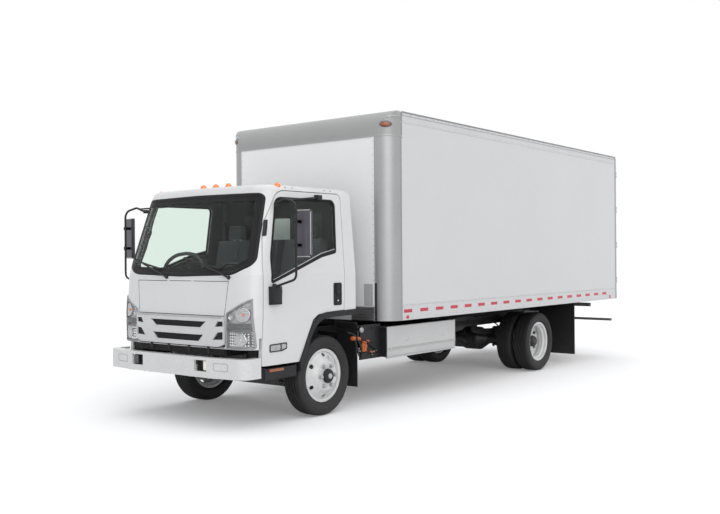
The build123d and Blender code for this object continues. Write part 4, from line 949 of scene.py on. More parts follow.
for name, points in (("upper", [(-413, 1000), (413, 1000), (333, 936), (-333, 936)]),
                     ("lower", [(-375, 872), (375, 872), (310, 804), (-310, 804)])):
    edge = Piece("grille_edge_" + name, "cab", "grille_plastic", smooth=50)
    edge.band(points[::-1], [(-3, 8), (-3, 27), (1, 29.5), (8, 29), (10, 25.5), (2, 22), (2, 8)],
              on_front, step=40)
    edge.done()
lower = Piece("lower_intake", "cab", "black_plastic", "rubber")
lower.strip([(-640, 725), (640, 725)], [(-30, -20), (-30, -14), (44, -14), (44, -20)], on_front, step=60)
for z in (704, 722, 740, 756):
    lower.strip([(-630, z), (630, z)], bar(3, -15, 4), on_front, step=60)
for x in (-420, -150, 150, 420):
    y = on_front((x, 730), 0)[1]
    lower.block((x - 16, x + 16), (y - 8, y + 20), (698, 764), 4)
lower.done()

MAIN_LAMP = (816, 836)
TURN_LAMP = (838, 1070)
LENS_LOW, LENS_TOP = 753, 1216
LENS_OUT, LENS_THICK = 13, 3
HEADLAMP = [(655, 750, 20), (953, 750, 30), (922, 1222, 10), (655, 1085, 12)]
for name, side in SIDES.items():
    tub = Piece("headlamp_housing_" + name, "cab", "lamp_lens", "lamp_silver", side=side, smooth=40)
    tub.band(arcs(HEADLAMP), [(-12, -28), (-1, -28), (-1, 8), (-4, 11), (-12, 8)], on_front, step=30)
    inner = set_off(dense(arcs(HEADLAMP), 30), -6)
    tub.rings([[on_front(p, height) for p in inner] for height in (-29, -22)])
    tub.done(replaces=["headlamps"])
    bright = Piece("headlamp_reflectors_" + name, "cab", "lamp_lens", "reflector", side=side, smooth=25)
    for x, z, r in ((*TURN_LAMP, 66), (*MAIN_LAMP, 58), (705, 1046, 28)):
        circle = [(x + r * cos(2 * pi * k / 28), z + r * sin(2 * pi * k / 28)) for k in range(28)]
        dish = [(0, -3), (-0.3 * r, -11), (-0.62 * r, -17), (-0.94 * r, -19), (-0.94 * r, -22),
                (2, -22), (3, -5)]
        bright.band(circle, dish, on_front, step=90)
    for z in (775, 905, 1120, 1150):
        bright.strip([(672 + max(z - 1085, 0) * 1.9, z), (938 - (z - 750) * 0.07, z)], bar(2, -22, -14),
                     on_front, step=25)
    bright.done()
    back_plate = Piece("headlamp_back_" + name, "cab", "lamp_lens", "lamp_dark", side=side, smooth=40)
    back_plate.strip([(672, 842), (930, 842)], [(-72, -24), (-72, -20), (66, -20), (66, -24)],
                     on_front, step=25)
    back_plate.done()
    bright = Piece("headlamp_facets_" + name, "cab", "lamp_lens", "chrome", side=side, smooth=25)
    facet = Item()
    facet.slab("y", oblong(-12, 12, -12, 12), (-9, 4), 8)
    held = facet.as_mesh()
    for i in range(9):
        for j in range(5):
            x, z = 688 + 28 * i, 783 + 27 * j
            if (x - MAIN_LAMP[0]) ** 2 + (z - MAIN_LAMP[1]) ** 2 > 54**2:
                bright.copies(held, 1, (x, on_front((x, z), -20)[1], z))
    bright.done()
    band = Piece("headlamp_band_" + name, "cab", "lamp_lens", "lamp_dark", side=side, smooth=40)
    band.strip([(662, 962), (936, 962)], bar(26, -24, 8), on_front, step=25)
    band.strip([(664, 930), (934, 930)], bar(2, -24, 10), on_front, step=25)
    band.done()
    bulb = Piece("indicator_bulb_" + name, "cab", "lamp_lens", "amber_lens", side=side, smooth=60)
    for x, z, r in ((*TURN_LAMP, 13), (916, 905, 8)):
        y = on_front((x, z), -12)[1]
        bulb.turned([(16, 0), (14, r * 0.8), (4, r), (-6, r * 0.8), (-12, r * 0.35), (-13, 0)],
                    (x, y + 2, z), "y", 20)
    bulb.done()
    bulb = Piece("headlamp_bulb_" + name, "cab", "lamp_lens", "white_lens", side=side, smooth=60)
    x, z = MAIN_LAMP
    y = on_front(MAIN_LAMP, -12)[1]
    bulb.turned([(16, 0), (14, 9), (2, 11), (-4, 8), (-8, 3), (-8, 0)], (x, y + 2, z), "y", 20)
    bulb.done()
    cover = Piece("headlamp_lens_" + name, "cab", "lamp_lens", side=side, smooth=50)
    part = bmesh.new()
    sheets = [[], []]
    for k in range(15):
        z = LENS_LOW + k * (LENS_TOP - LENS_LOW) / 14
        right = 950 - (z - 750) * 31 / 472
        left = min(658 + max(z - 1085, 0) * (264 / 137), right - 4)
        row = [left + (right - left) * i / 12 for i in range(13)]
        for rows, height in zip(sheets, (LENS_OUT, LENS_OUT - LENS_THICK)):
            rows.append([part.verts.new(on_front((x, z), height)) for x in row])
    for rows, way in zip(sheets, (1, -1)):
        for a, b in zip(rows, rows[1:]):
            for i in range(12):
                part.faces.new((a[i], a[i + 1], b[i + 1], b[i])[::way])
    outer, inner = [rows[0] + [r[-1] for r in rows[1:]] + rows[-1][-2::-1] + [r[0] for r in rows[-2:0:-1]]
                    for rows in sheets]
    for i in range(len(outer)):
        j = (i + 1) % len(outer)
        part.faces.new((outer[i], outer[j], inner[j], inner[i]))
    cover.take(part)
    cover.done()


# ---- roof lamp bases ----
ROOF_LAMPS = ((0, 2303), (186, 2303), (-186, 2303))
ROOF_LAMP_Y = -600
lamp = Piece("roof_lamp_bases", "cab", "black_plastic", smooth=45)
for x, z in ROOF_LAMPS:
    lamp.turned([(-4, 0), (-4, 46), (4, 45), (7, 39), (7, 0)], (x, ROOF_LAMP_Y, z), "z", 28)
for s in (-1, 1):
    lamp.turned([(-22, 0), (-22, 42), (-6, 42), (-2, 39), (-2, 0)], (s * 860, ROOF_LAMP_Y, 2268), "z", 28)
lamp.done()


# ---- doors ----
for name, side in SIDES.items():
    body = "door_" + name
    seal = Piece("door_window_seal_" + name, body, "clear_glass", "seal", side=side, smooth=45)
    seal.band(arcs(DOOR_WINDOW), [(-17, -15), (-17, -9), (-11, 1), (-2, 3), (6, 2.5), (9, 0.4), (9, -2),
                                  (0, -4), (0, -15)], on_side, step=45)
    seal.strip([(-803, 1372), (-93, 1618), (128, 1664)], [(-16, -14), (-16, 2), (-9, 5), (2, 5), (6, 2),
                                                          (6, -14)], on_side, step=30)
    seal.done()
    strip = Piece("door_sill_strip_" + name, body, "black_plastic", "edge_grey", side=side, smooth=45)
    strip.strip([(-798, 1388), (-93, 1636), (128, 1682)], [(-5, -10), (-5, -3), (0, 1), (5, -3), (5, -10)],
                on_side, step=30)
    strip.done()
    handle = Piece("door_handle_" + name, body, "black_plastic", side=side, smooth=45)
    spot = arcs(oblong(72, 196, 1112, 1340, 16))
    handle.band(spot, [(-14, -2), (-14, 5), (-3, 9), (0, 6), (0, -2)], on_side, step=60)
    handle.slab("x", oblong(80, 188, 1120, 1332, 10), (990, 999), 2)
    handle.slab("x", oblong(104, 164, 1222, 1322, 14), (998, 1016), 6)
    handle.turned([(998, 0), (998, 15), (1004, 15), (1006, 12), (1006, 0)], (0, 132, 1160), "x", 20)
    handle.done()
    lock = Piece("door_lock_" + name, body, "black_plastic", "chrome", side=side, smooth=45)
    lock.turned([(1005, 0), (1005, 9), (1008, 8), (1008, 0)], (0, 132, 1160), "x", 16)
    lock.done()
    lamp = Piece("side_lamp_frame_" + name, body, "black_plastic", side=side, smooth=45)
    spot = arcs([(-853, 716, 14), (-690, 718, 10), (-622, 736, 10), (-622, 792, 10), (-853, 786, 14)])
    lamp.band(spot, [(-9, -3), (-9, 7), (-2, 9), (2, 6), (2, -3)], on_side, step=30)
    lamp.strip([(-703, 722), (-703, 788)], bar(5, -2, 8), on_side, step=30)
    lamp.done()
    lamp = Piece("side_lamp_lens_" + name, body, "lamp_lens", "edge_grey", side=side, smooth=45)
    lamp.strip([(-846, 754), (-712, 754)], [(-31, -2), (-31, 4), (0, 7.5), (31, 4), (31, -2)],
               on_side, step=20)
    lamp.strip([(-694, 758), (-632, 762)], [(-26, -2), (-26, 4), (0, 6), (26, 4), (26, -2)], on_side, step=20)
    lamp.done()
    lamp = Piece("side_lamp_bulb_" + name, body, "amber_lens", "lamp_silver", side=side, smooth=45)
    lamp.strip([(-790, 752), (-760, 752)], [(-12, 4), (-12, 6.5), (0, 8.6), (12, 6.5), (12, 4)],
               on_side, step=10)
    lamp.done()
    crease = Piece("door_crease_" + name, body, "cab_paint", side=side, smooth=60)
    crease.strip([(-414, 640), (-330, 830), (-250, 975), (-150, 1065), (0, 1098), (228, 1106)],
                 [(-14, -1.5), (-2, 2.6), (3, 2.8), (16, -1.5)], on_side, step=30)
    crease.done()
    trim = Piece("door_trim_" + name, body, "dash_plastic", "trim_grey", side=side, smooth=45)
    panel = [(-780, 905, 40), (-770, 1320, 30), (-90, 1560, 60), (120, 1600, 30), (110, 1120, 30),
             (-250, 1100, 90), (-430, 905, 40)]
    trim.slab("x", panel, (931, 945), 4)
    trim.slab("x", [(-600, 1185, 20), (60, 1210, 20), (60, 1262, 20), (-600, 1240, 20)], (868, 934), 10)
    trim.slab("x", [(-700, 945, 20), (-420, 945, 20), (-300, 1060, 20), (-700, 1060, 20)], (905, 934), 8)
    trim.tube([(934, -520, 1300), (896, -510, 1310), (896, -300, 1390), (934, -290, 1400)], 11, 10, bend=30)
    trim.done()
    head = Piece("mirror_glass_" + name, body, "black_plastic", "mirror_glass", side=side)
    turn = ("Z", 11, (1290, -687, 0))
    head.slab("y", oblong(1226, 1354, 1618, 2025, 14), (-668, -664.5), 1.2, turn)
    head.done()
    shell = Piece("mirror_shell_" + name, body, "black_plastic", "mirror_plastic", side=side, smooth=45)
    shell.slab("y", oblong(1213, 1367, 1601, 2042, 22), (-709, -667), 9, turn, segments=3)
    shell.done()
    rim = Piece("mirror_rim_" + name, body, "black_plastic", "edge_grey", side=side, smooth=45)
    for z in (1603, 2032):
        rim.slab("y", oblong(1222, 1360, z, z + 9, 3), (-711, -690), 2, turn)
    rim.slab("y", oblong(1361, 1368.5, 1625, 2020, 3), (-711, -703), 2, turn)
    rim.done()
    clip = Piece("mirror_clamps_" + name, body, "black_plastic", side=side, smooth=45)
    for z in (1713, 1930):
        clip.turned([(z - 17, 0), (z - 17, 19), (z + 17, 19), (z + 17, 0)], (1262, -775, 0), "z", 16)
        clip.block((1248, 1276), (-772, -700), (z - 14, z + 14), 3)
    clip.slab("x", [(-858, 1172, 20), (-728, 1172, 30), (-720, 1300, 16), (-760, 1332, 16), (-858, 1326, 20)],
              (1026, 1040), 5)
    clip.turned([(1322, 0), (1322, 24), (1350, 20), (1356, 12), (1356, 0)], (1010, -800, 0), "z", 18)
    clip.done()


# ---- bumper, steps and flares ----
trim = Piece("bumper_bolts", "chassis", "bumper_paint", "nut_steel")
for x in (-620, -560, -380, -300, 300, 380, 560, 620):
    trim.turned([(0, 0), (0, 11), (-5, 11), (-8, 7), (-8, 0)], (x, -1214, 487.5), "z", 10)
trim.done()
# A grey band round the pressing in the bumper: painted shade along the pressed step.
panel = Piece("bumper_pressings", "chassis", "bumper_paint", "pressing_painted_shade", smooth=50, both=True)


def on_bumper(p, out=0.0):
    """The bumper's face at (x, z): straight to x = 560, then swept back to its ends."""
    x, z = p
    sweep_starts, bumper_end, sweep = 560, 1000, 54
    back = sweep * max(abs(x) - sweep_starts, 0) / (bumper_end - sweep_starts)
    return (x, -1240 + back - out, z)


panel.band(arcs(oblong(636, 806, 560, 628, 12)), [(-4, -7), (-2.5, 2), (2.5, 2), (4, -7)], on_bumper, step=60)
panel.done()
hole = Piece("bumper_lamp_pockets", "chassis", "black_plastic", smooth=45)
for s in (-1, 1):
    x = sorted((s * 372, s * 554))
    hole.block(x, (-1192, -1180), (536, 654), 3)
    for z in (560, 584, 608, 632):
        hole.block((x[0] + 8, x[1] - 8), (-1208, -1190), (z - 2, z + 2), 1)
hole.done()

def on_arch(p, out=0.0):
    """The outer face of a wheel arch at (y, z)."""
    return (994 + out, p[0], p[1] - 8)


for name, side in SIDES.items():
    lamp = Piece("fog_lamp_" + name, "chassis", "lamp_lens", "white_lens" if side > 0 else "lamp_dark",
                 side=side, smooth=45)
    lamp.slab("y", oblong(482, 540, 552, 640, 10), (-1222, -1192), 6)
    lamp.done()
    tread = Piece("step_tread_" + name, "cab", "black_plastic", side=side)
    tread.slabs("z", oblong(806, 972, -4, 4), (520, 526), 1.5, 20, (0, -893, 0), (0, 20, 0))
    tread.slab("y", [(984, 462, 4), (994, 466, 4), (994, 562, 4), (984, 568, 4)], (-918, -486), 3)
    tread.done()
    marker = Piece("step_marker_" + name, "cab", "amber_lens", "amber_dim", side=side, smooth=50)
    marker.slab("x", oblong(-862, -670, 532, 558, 6), (992, 1001), 3)
    marker.done()
    edge = Piece("arch_lip_" + name, "cab", "black_plastic", side=side, smooth=45)
    edge.strip([(-436, 596), (-340, 792), (-236, 992), (-160, 1034), (-60, 1046), (425, 1054)],
               [(-8, -2), (-8, 10), (-2, 13), (6, 8), (6, -2)], on_arch, step=30)
    edge.done()
    liner = Piece("wheel_house_" + name, "cab", "black_plastic", "rubber", side=side, smooth=60)
    curve = [(-436, 560), (-400, 640), (-330, 760), (-235, 885), (-140, 955), (-40, 985),
             (120, 995), (425, 1000)]
    liner.strip(curve, bar(4, -440, 0), plane_at("x", 960), step=30)
    liner.done()


# ---- van body ----
CORNER = (1019, 945)
CORNER_RADIUS = 200
CORNER_BEND = 314.159
CROWN_RADIUS = 230
CROWN_START = 2952


def on_corner(p, out=0.0):
    """The van body's left front corner at (u, z), u along the bend from where the front wall ends."""
    u, z = p
    crown = BOX_FRONT + CROWN_RADIUS - sqrt(max(CROWN_RADIUS**2 - max(z - CROWN_START, 0) ** 2, 0))
    if u <= 0:
        return (CORNER[0] + u, max(BOX_FRONT, crown) - out, z)
    if u >= CORNER_BEND:
        return (BOX_X + out, CORNER[1] + u - CORNER_BEND, z)
    a = u / CORNER_RADIUS
    y = max(CORNER[1] - cos(a) * CORNER_RADIUS, crown)
    return (CORNER[0] + sin(a) * (CORNER_RADIUS + out), y - cos(a) * out, z)


left = plane_at("x", BOX_X)
rear = plane_at("y", BOX_REAR, 1)

trim = Piece("front_wall_panels", "chassis", "frame_paint", "underride_steel")
for k in range(5):
    z = 916 + k * 29
    trim.slab("y", oblong(694, 1005, z, z + 24, 3), (735, 746), 3)
trim.slab("y", oblong(694, 1005, 913, 1062), (741, 746), 1)
trim.done()
# A flat black strip, 30 mm wide, down the front wall's lower part beside the left corner post.
trim = Piece("front_wall_channel", "chassis", "frame_paint")
trim.slab("y", oblong(1010, 1040, 914, 1320), (740, 748), 2)
trim.done()
trim = Piece("front_wall_plate", "chassis", "bright_aluminium")
trim.slab("y", oblong(866, 986, 1073, 1310, 4), (741.5, 746), 1)
trim.done()

dots = Piece("front_wall_rivets", "chassis", "grey_aluminium", smooth=60)
for s in (-1, 1):
    dots.copies(rivet("y", 5.5, -2.6), 21, (s * 992, BOX_FRONT, 1345), (0, 0, 75))
    dots.copies(rivet("y", 5.5, -2.6), 26, (s * 20, BOX_FRONT, 2880), (s * 38, 0, 0))
for x in (872, 980):
    dots.copies(rivet("y", 5, -2.6), 6, (x, 741.5, 1084), (0, 0, 43))
dots.copies(rivet("y", 5, -2.6), 9, (708, 741, 1068), (36, 0, 0))
dots.done()

trim = Piece("corner_mouldings", "chassis", "grey_aluminium", both=True, smooth=50)
trim.strip([(-1019, 2898), (160, 2898), (314.2, 2898)], [(-9, -1), (-8, 3.5), (0, 5.5), (8, 3.5), (9, -1)],
           on_corner, step=20)
trim.strip([(316, 918), (316, 2890)], [(-7, -1), (-6, 2.6), (0, 3.6), (6, 2.6), (7, -1)], on_corner, step=200)
trim.strip([(-4, 918), (-4, 2886)], [(-7, -1), (-5, 2.6), (5, 2.6), (7, -1)], on_corner, step=200)
trim.strip([(52, 3046), (80, 3064), (120, 3083), (170, 3098), (230, 3107), (306, 3109)],
           [(-14, -2), (-8, 5), (0, 7), (7, 3), (12, -2)], on_corner, step=10)
trim.strip([(40, 2996), (66, 3032), (129, 3048), (200, 3036), (216, 2994)],
           [(-4, -2), (-3, 3), (3, 3), (4, -2)], on_corner, step=8)
trim.done()
shade = Piece("corner_seams", "chassis", "frame_paint", "seal", both=True)
shade.strip([(327, 918), (327, 3160)], bar(1.6, -1, 0.7), on_corner, step=200)
shade.strip([(316, 2885), (352, 2885)], bar(1.4, -1, 0.7), on_corner, step=20)
shade.done()


def oval(piece, place, centre, half, heights, steps=28):
    """A low domed oval on a surface; heights are (share of the half sizes, height)."""
    rings = []
    for share, out in heights:
        rings.append([place((centre[0] + cos(2 * pi * k / steps) * half[0] * share,
                             centre[1] + sin(2 * pi * k / steps) * half[1] * share), out)
                      for k in range(steps)])
    piece.rings(rings)


lamp = Piece("corner_lamps", "chassis", "amber_lens", "amber_dim", both=True, smooth=60)
oval(lamp, on_corner, (129, 3018), (56, 25), ((1, -1), (1, 7), (0.93, 12), (0.75, 16),
                                              (0.4, 18), (0.05, 18.5)))
lamp.done()
lamp = Piece("corner_lamp_rings", "chassis", "rubber", "lamp_dark", both=True, smooth=60)
oval(lamp, on_corner, (129, 3018), (68, 34), ((1, -1), (1, 4), (0.94, 6.5), (0.8, 6.5), (0.8, -1)))
for u in (102, 129, 156):
    lamp.strip([(u - 7, 3026), (u + 7, 3026)], bar(2.6, 10, 19.5), on_corner, step=6)
lamp.done()

dots = Piece("rail_rivets", "chassis", "grey_aluminium", both=True, smooth=60)
for z in (1070, 946, 3066, 3140):
    dots.copies(rivet("x", 5.5, 2.4), 39, (BOX_X, 985, z), (0, 152, 0))
dots.copies(rivet("x", 5, 2.4), 24, (BOX_X, 962, 1130), (0, 0, 76))
dots.copies(rivet("x", 5, 2.4), 26, (BOX_X, 6800, 1050), (0, 0, 76))
dots.done()
trim = Piece("rail_mouldings", "chassis", "grey_aluminium", "rail_white", both=True, smooth=50)
for z, half, low, top in ((1082, 6, 3, 4), (3052, 5, 3, 3.5), (921, 8, 5, 4)):
    trim.strip([(948, z), (6778, z)], [(-half, -1), (1 - half, top), (low, top), (half, -1)], left, 900)
trim.done()
trim = Piece("roof_edge", "chassis", "grey_aluminium", both=True, smooth=50)
trim.strip([(960, 3126), (6838, 3126)], [(-4, -2), (-3, 3), (3, 3), (4, -2)], left, step=900)
trim.strip([(980, 3166), (6838, 3166)], [(-6, -6), (-5, 0.5), (4, -3), (7, -14)], left, step=900)
trim.done()

TAPE_PITCH = 311
tape = Piece("side_tape_red", "chassis", "black_plastic", "red_tape", both=True)
tape.slabs("x", oblong(0, 154, -18, 18, 3), (-1, 1.2), 0.3, 18, (BOX_X, 987, 1012), (0, TAPE_PITCH, 0))
tape.slab("x", oblong(1030, 1082, 914, 962, 3), (1218, 1220.4), 0.3)
tape.slab("x", oblong(6540, 6590, 930, 978, 3), (1218, 1220.4), 0.3)
tape.done()
tape = Piece("side_tape_silver", "chassis", "black_plastic", "silver_tape", both=True)
tape.slabs("x", oblong(0, 150, -17, 17, 3), (-1, 1.0), 0.3, 18, (BOX_X, 1144, 1012), (0, TAPE_PITCH, 0))
tape.slab("x", oblong(1223, 1345, 917, 972, 3), (1218, 1220.2), 0.3)
tape.done()

cover = Piece("side_cover_hinge", "chassis", "bright_aluminium", "nut_steel", smooth=60)
cover.turned([(876, 0), (876, 7), (2222, 7), (2222, 0)], (1085, 0, 606), "y", 12)
for z in (626, 588):
    cover.copies(rivet("x", 6, 3), 32, (1082, 886, z), (0, 42.5, 0))
cover.done()
cover = Piece("side_cover_edges", "chassis", "bright_aluminium", smooth=50)
cover.band(oblong(868, 2227, 503, 842), [(-13, -1), (-12, 2.5), (-1, 2.5), (2, -1)],
           plane_at("x", 1082), step=900)
for y in (1180, 1900):
    cover.slab("x", oblong(y, y + 90, 668, 712, 8), (1080, 1084.5), 1.5)
cover.done()
knuckles = Piece("side_cover_joints", "chassis", "rubber", "seal")
item = Item()
item.turned([(-1.2, 6.5), (-1.2, 8), (1.2, 8), (1.2, 6.5)], (0, 0, 0), "y", 12, closed=True)
knuckles.copies(item.as_mesh(), 27, (1085, 900, 606), (0, 49.5, 0))
knuckles.done()

# ---- service plate ahead of the cover ----
cover_end_and_shade_slab = Piece("side_cover_end", "chassis", "black_plastic")
cover_end_and_shade_slab.block((996, 1079), (851, 863), (519, 842), 2)
# A black slab just over the cover's top: painted shade, for the shadow that the box floor casts on the cover.
cover_end_and_shade_slab.block((440, 1079), (866, 2229), (845.5, 849), 1)
cover_end_and_shade_slab.done()
fit = Piece("service_fittings", "chassis", "rubber", "orange", smooth=50)
for y, z, r, reach in ((540, 665, 27, 46), (540, 628, 25, 40), (548, 700, 16, 40), (460, 744, 20, 30),
                       (665, 591, 13, 34), (612, 712, 12, 30), (374, 755, 22, 30)):
    fit.turned([(985, 0), (985, r), (1000 + reach * 0.5, r), (1000 + reach * 0.6, r * 0.8),
                (1000 + reach, r * 0.74), (1000 + reach + 3, r * 0.5), (1000 + reach + 3, 0)],
               (0, y, z), "x", 16)
fit.block((996, 1034), (508, 574), (604, 690), 6)
fit.done()
fit = Piece("service_caps", "chassis", "bright_aluminium", "edge_grey", smooth=50)
fit.turned([(998, 0), (998, 27), (1012, 27), (1016, 23), (1016, 12), (1013, 11), (1013, 0)],
           (0, 517, 832), "x", 28)
fit.turned([(1013, 0), (1013, 9), (1018, 8), (1018, 0)], (0, 517, 832), "x", 16)
for y, z in ((470, 640), (486, 612), (590, 600), (700, 560), (730, 590), (770, 600)):
    fit.turned([(998, 0), (998, 8), (1010, 8), (1012, 5), (1012, 0)], (0, y, z), "x", 12)
fit.done()
hose = Piece("service_hoses", "chassis", "rubber", smooth=60)
for points in ([(1005, 505, 560), (1022, 560, 600), (1018, 640, 590), (1005, 720, 560), (1000, 800, 556)],
               [(1005, 560, 720), (1026, 600, 700), (1026, 680, 650), (1010, 780, 600)],
               [(1003, 430, 760), (1016, 470, 700), (1016, 500, 610), (1004, 520, 540)],
               [(990, 300, 820), (1002, 380, 800), (1006, 420, 700), (1000, 480, 560)]):
    hose.tube(points, 9, 8, bend=50)
for y in (512, 700, 838):
    hose.copies(hexagon("x", 16, 8), 3, (1000, y, 540), (0, 0, 150))
hose.done()
stay = Piece("flap_stays", "chassis", "frame_paint", both=True)
stay.tube([(700, 476, 850), (960, 470, 780), (968, 478, 560)], 9, 8, bend=40)
for y in (486, 5384):
    stay.block((702 if y < 1000 else 600, 966 if y < 1000 else 1160), (y - 14, y - 4),
               (888 if y < 1000 else 862, 912 if y < 1000 else 884), 2)
for x in (620, 760, 900, 1040, 1140):
    stay.turned([(5370, 0), (5370, 11), (5362, 9), (5362, 0)], (x, 0, 872), "y", 6)
stay.done()

# ---- rear doors and sill ----
for name, side in SIDES.items():
    body = "cargo_door_" + name
    seal = Piece("cargo_door_seal_" + name, body, "rubber", "seal", side=side)
    seal.band(oblong(6, 1132, 1034, 3060), [(-16, -1), (-14, 3), (-2, 3), (-2, -1)], rear, step=500)
    seal.done()
    iron = Piece("cargo_door_irons_" + name, body, "grey_aluminium", "nut_steel", side=side, smooth=45)
    for z in (1068, 3028):
        iron.block((122, 198), (6842, 6852), (z - 24, z + 24), 3)
        iron.tube([(160, 6871, z - 16), (160, 6871, z + 16)], 19, 14)
        iron.block((150, 186), (6862, 6888), (z - 14, z + 14), 4)
    for z in (1300, 1760, 2250, 2720):
        iron.block((128, 192), (6842, 6860), (z - 18, z + 18), 4)
        iron.copies(hexagon("y", 13, 5), 2, (134, 6859, z), (52, 0, 0))
    iron.slab("y", oblong(392, 448, 1500, 1640, 14), (6841, 6850), 3)
    iron.slab("y", [(150, 1535, 12), (430, 1540, 12), (430, 1572, 12), (150, 1578, 12)], (6872, 6884), 4)
    iron.turned([(6848, 0), (6848, 11), (6890, 11), (6893, 8), (6893, 0)], (418, 0, 1556), "y", 16)
    for z in (1218, 1811, 2404, 2884):
        iron.copies(hexagon("y", 14, 6), 3, (1016, 6857, z), (38, 0, 0))
    iron.done()
    face = Piece("cargo_door_edging_" + name, body, "box_panel", "rail_white", side=side)
    face.band(oblong(24, 1112, 1054, 3040), [(-26, -1), (-25, 3), (0, 3), (1, -1)], rear, step=500)
    for z in (1700, 2360):
        face.slab("y", oblong(30, 1108, z, z + 46), (6840, 6844.5), 1.5)
    face.done()
    dots = Piece("cargo_door_rivets_" + name, body, "grey_aluminium", side=side, smooth=60)
    for z in (1066, 3028):
        dots.copies(rivet("y", 5, 2.4), 14, (50, 6844, z), (80, 0, 0))
    dots.copies(rivet("y", 5, 2.4), 25, (1100, 6844, 1100), (0, 0, 78))
    dots.done()
    band = Piece("cargo_door_tape_" + name, body, "black_plastic", "red_tape", side=side)
    band.slabs("y", oblong(0, 150, -25, 25, 3), (-1, 4.2), 0.3, 3, (215, BOX_REAR, 1110), (300, 0, 0))
    band.done()

LOW_DOME = ((1, -1), (1, 8), (0.9, 14), (0.6, 18), (0.05, 19))
FULL_DOME = ((1, -1), (1, 8), (0.92, 14), (0.6, 18), (0.05, 19))
lamp = Piece("header_lamps", "chassis", "amber_lens", "red_lens", smooth=60)
for x in (-152, 0, 152):
    oval(lamp, rear, (x, 3126), (58, 22), LOW_DOME)
for x in (-1150, 1150):
    oval(lamp, rear, (x, 3110), (34, 24), LOW_DOME)
lamp.done()
lamp = Piece("tail_lamps", "chassis", "amber_lens", "red_lens", smooth=60, both=True)
for x in (1010, 830):
    oval(lamp, rear, (x, 968), (80, 30), FULL_DOME)
lamp.done()
lamp = Piece("reversing_lamps", "chassis", "lamp_lens", "white_lens", smooth=60, both=True)
oval(lamp, rear, (650, 968), (80, 30), FULL_DOME)
lamp.done()
ring = Piece("tail_lamp_rings", "chassis", "rubber", "seal", smooth=60, both=True)
for x in (1010, 830, 650):
    oval(ring, rear, (x, 968), (90, 39), ((1, -1), (1, 5), (0.95, 7), (0.88, 7), (0.88, -1)))
ring.done()
plate = Piece("plate_bracket", "chassis", "frame_paint")
plate.slab("y", oblong(-560, -250, 918, 1008, 6), (6841, 6846), 1.5)
plate.block((-440, -370), (6843, 6868), (1004, 1018), 3)
plate.done()
guard = Piece("rear_buffers", "chassis", "rubber", both=True)
guard.slab("y", oblong(1128, 1206, 920, 1016, 10), (6840, 6886), 8)
guard.done()
sill = Piece("sill_treads", "chassis", "grey_aluminium")
sill.slabs("z", oblong(-8, 8, -26, 26), (-1, 2.5), 1, 40, (-1085, 6808, 1024), (55.6, 0, 0))
sill.done()
ends = Piece("guard_bar_ends", "chassis", "underride_steel", "edge_grey", both=True)
ends.block((1146, 1159), (6758, 6802), (558, 600), 2)
ends.done()
for colour, first, count in (("red", -1050, 7), ("silver", -895, 6)):
    tape = Piece("guard_tape_" + colour, "chassis", "black_plastic", colour + "_tape")
    tape.slabs("y", oblong(0, 150, -17, 17, 2), (-1, 1.2), 0.3, count, (first, 6800, 579), (310, 0, 0))
    tape.done()

# ---- load space ----
lining = Piece("load_space_rails", "chassis", "deck_wood", both=True)
for z in (1150, 1500, 1850, 2200, 2550, 2900):
    lining.slab("y", oblong(1178, 1196, z, z + 118), (960, 6776), 3)
lining.done()
bows = Piece("roof_bows", "chassis", "grey_aluminium")
bows.slabs("y", oblong(-1120, 1120, 3112, 3158), (-19, 19), 3, 10, (0, 1100, 0), (0, 600, 0))
bows.done()
posts = Piece("wall_posts", "chassis", "grey_aluminium", both=True)
posts.slabs("z", oblong(1186, 1195, -22, 22), (1026, 3120), 3, 15, (0, 1000, 0), (0, 406, 0))
posts.done()

# ---- roof lamp domes ----
dome = Piece("roof_lamp_domes", "cab", "amber_lens", smooth=60)
for x, z in (*ROOF_LAMPS, (860, 2272), (-860, 2272)):
    dome.turned([(-20, 0), (-20, 37), (6, 37), (20, 35), (33, 30), (44, 22), (51, 12), (54, 0)],
                (x, ROOF_LAMP_Y, z), "z", 28)
dome.done(replaces=["roof_lamps"])

# ---- cab interior ----
trim = Piece("cab_headlining", "cab", "dash_plastic", "trim_grey", smooth=60)
trim.strip([(-840, 2222), (840, 2222)], [(-40, -66), (-40, -52), (30, -52), (30, -66)], on_front, step=40)
trim.slab("z", [(-835, -690, 120), (835, -690, 120), (850, 380, 40), (-850, 380, 40)], (2246, 2258), 4)
trim.slab("x", [(-735, 2238, 20), (-655, 2258, 10), (-560, 2258, 10), (-620, 2150, 30)], (-600, 600), 6)
trim.slab("y", [(-820, 1150, 30), (820, 1150, 30), (800, 1475, 30), (-800, 1475, 30)], (374, 386), 5)
trim.done()
trim = Piece("pillar_trims", "cab", "dash_plastic", "trim_grey", smooth=60)
for s in (-1, 1):
    path = [(s * 842, 1470), (s * 836, 1700), (s * 800, 1960), (s * 762, 2215)]
    trim.strip(path, [(-46, -64), (-40, -50), (30, -50), (46, -64), (46, -78), (-46, -78)], on_front, step=40)
    trim.slab("x", oblong(300, 384, 1200, 2240, 20), sorted((s * 862, s * 880)), 5)
trim.done()
bar = Piece("grab_handles", "cab", "dash_plastic", smooth=60, both=True)
bar.tube([(-856, -818, 1935), (-806, -808, 1926), (-786, -800, 1880), (-794, -838, 1790), (-842, -872, 1748),
          (-866, -880, 1744)], 12, 10, bend=34)
bar.done()
dash = Piece("dash_pods", "cab", "dash_plastic", smooth=50)
dash.slab("x", [(-940, 1385, 20), (-700, 1372, 40), (-672, 1452, 40), (-780, 1500, 50), (-930, 1440, 30)],
          (180, 680), 12, segments=2)
dash.slab("x", [(-990, 1380, 20), (-720, 1360, 40), (-740, 1400, 30), (-980, 1420, 20)], (-800, 170), 8)
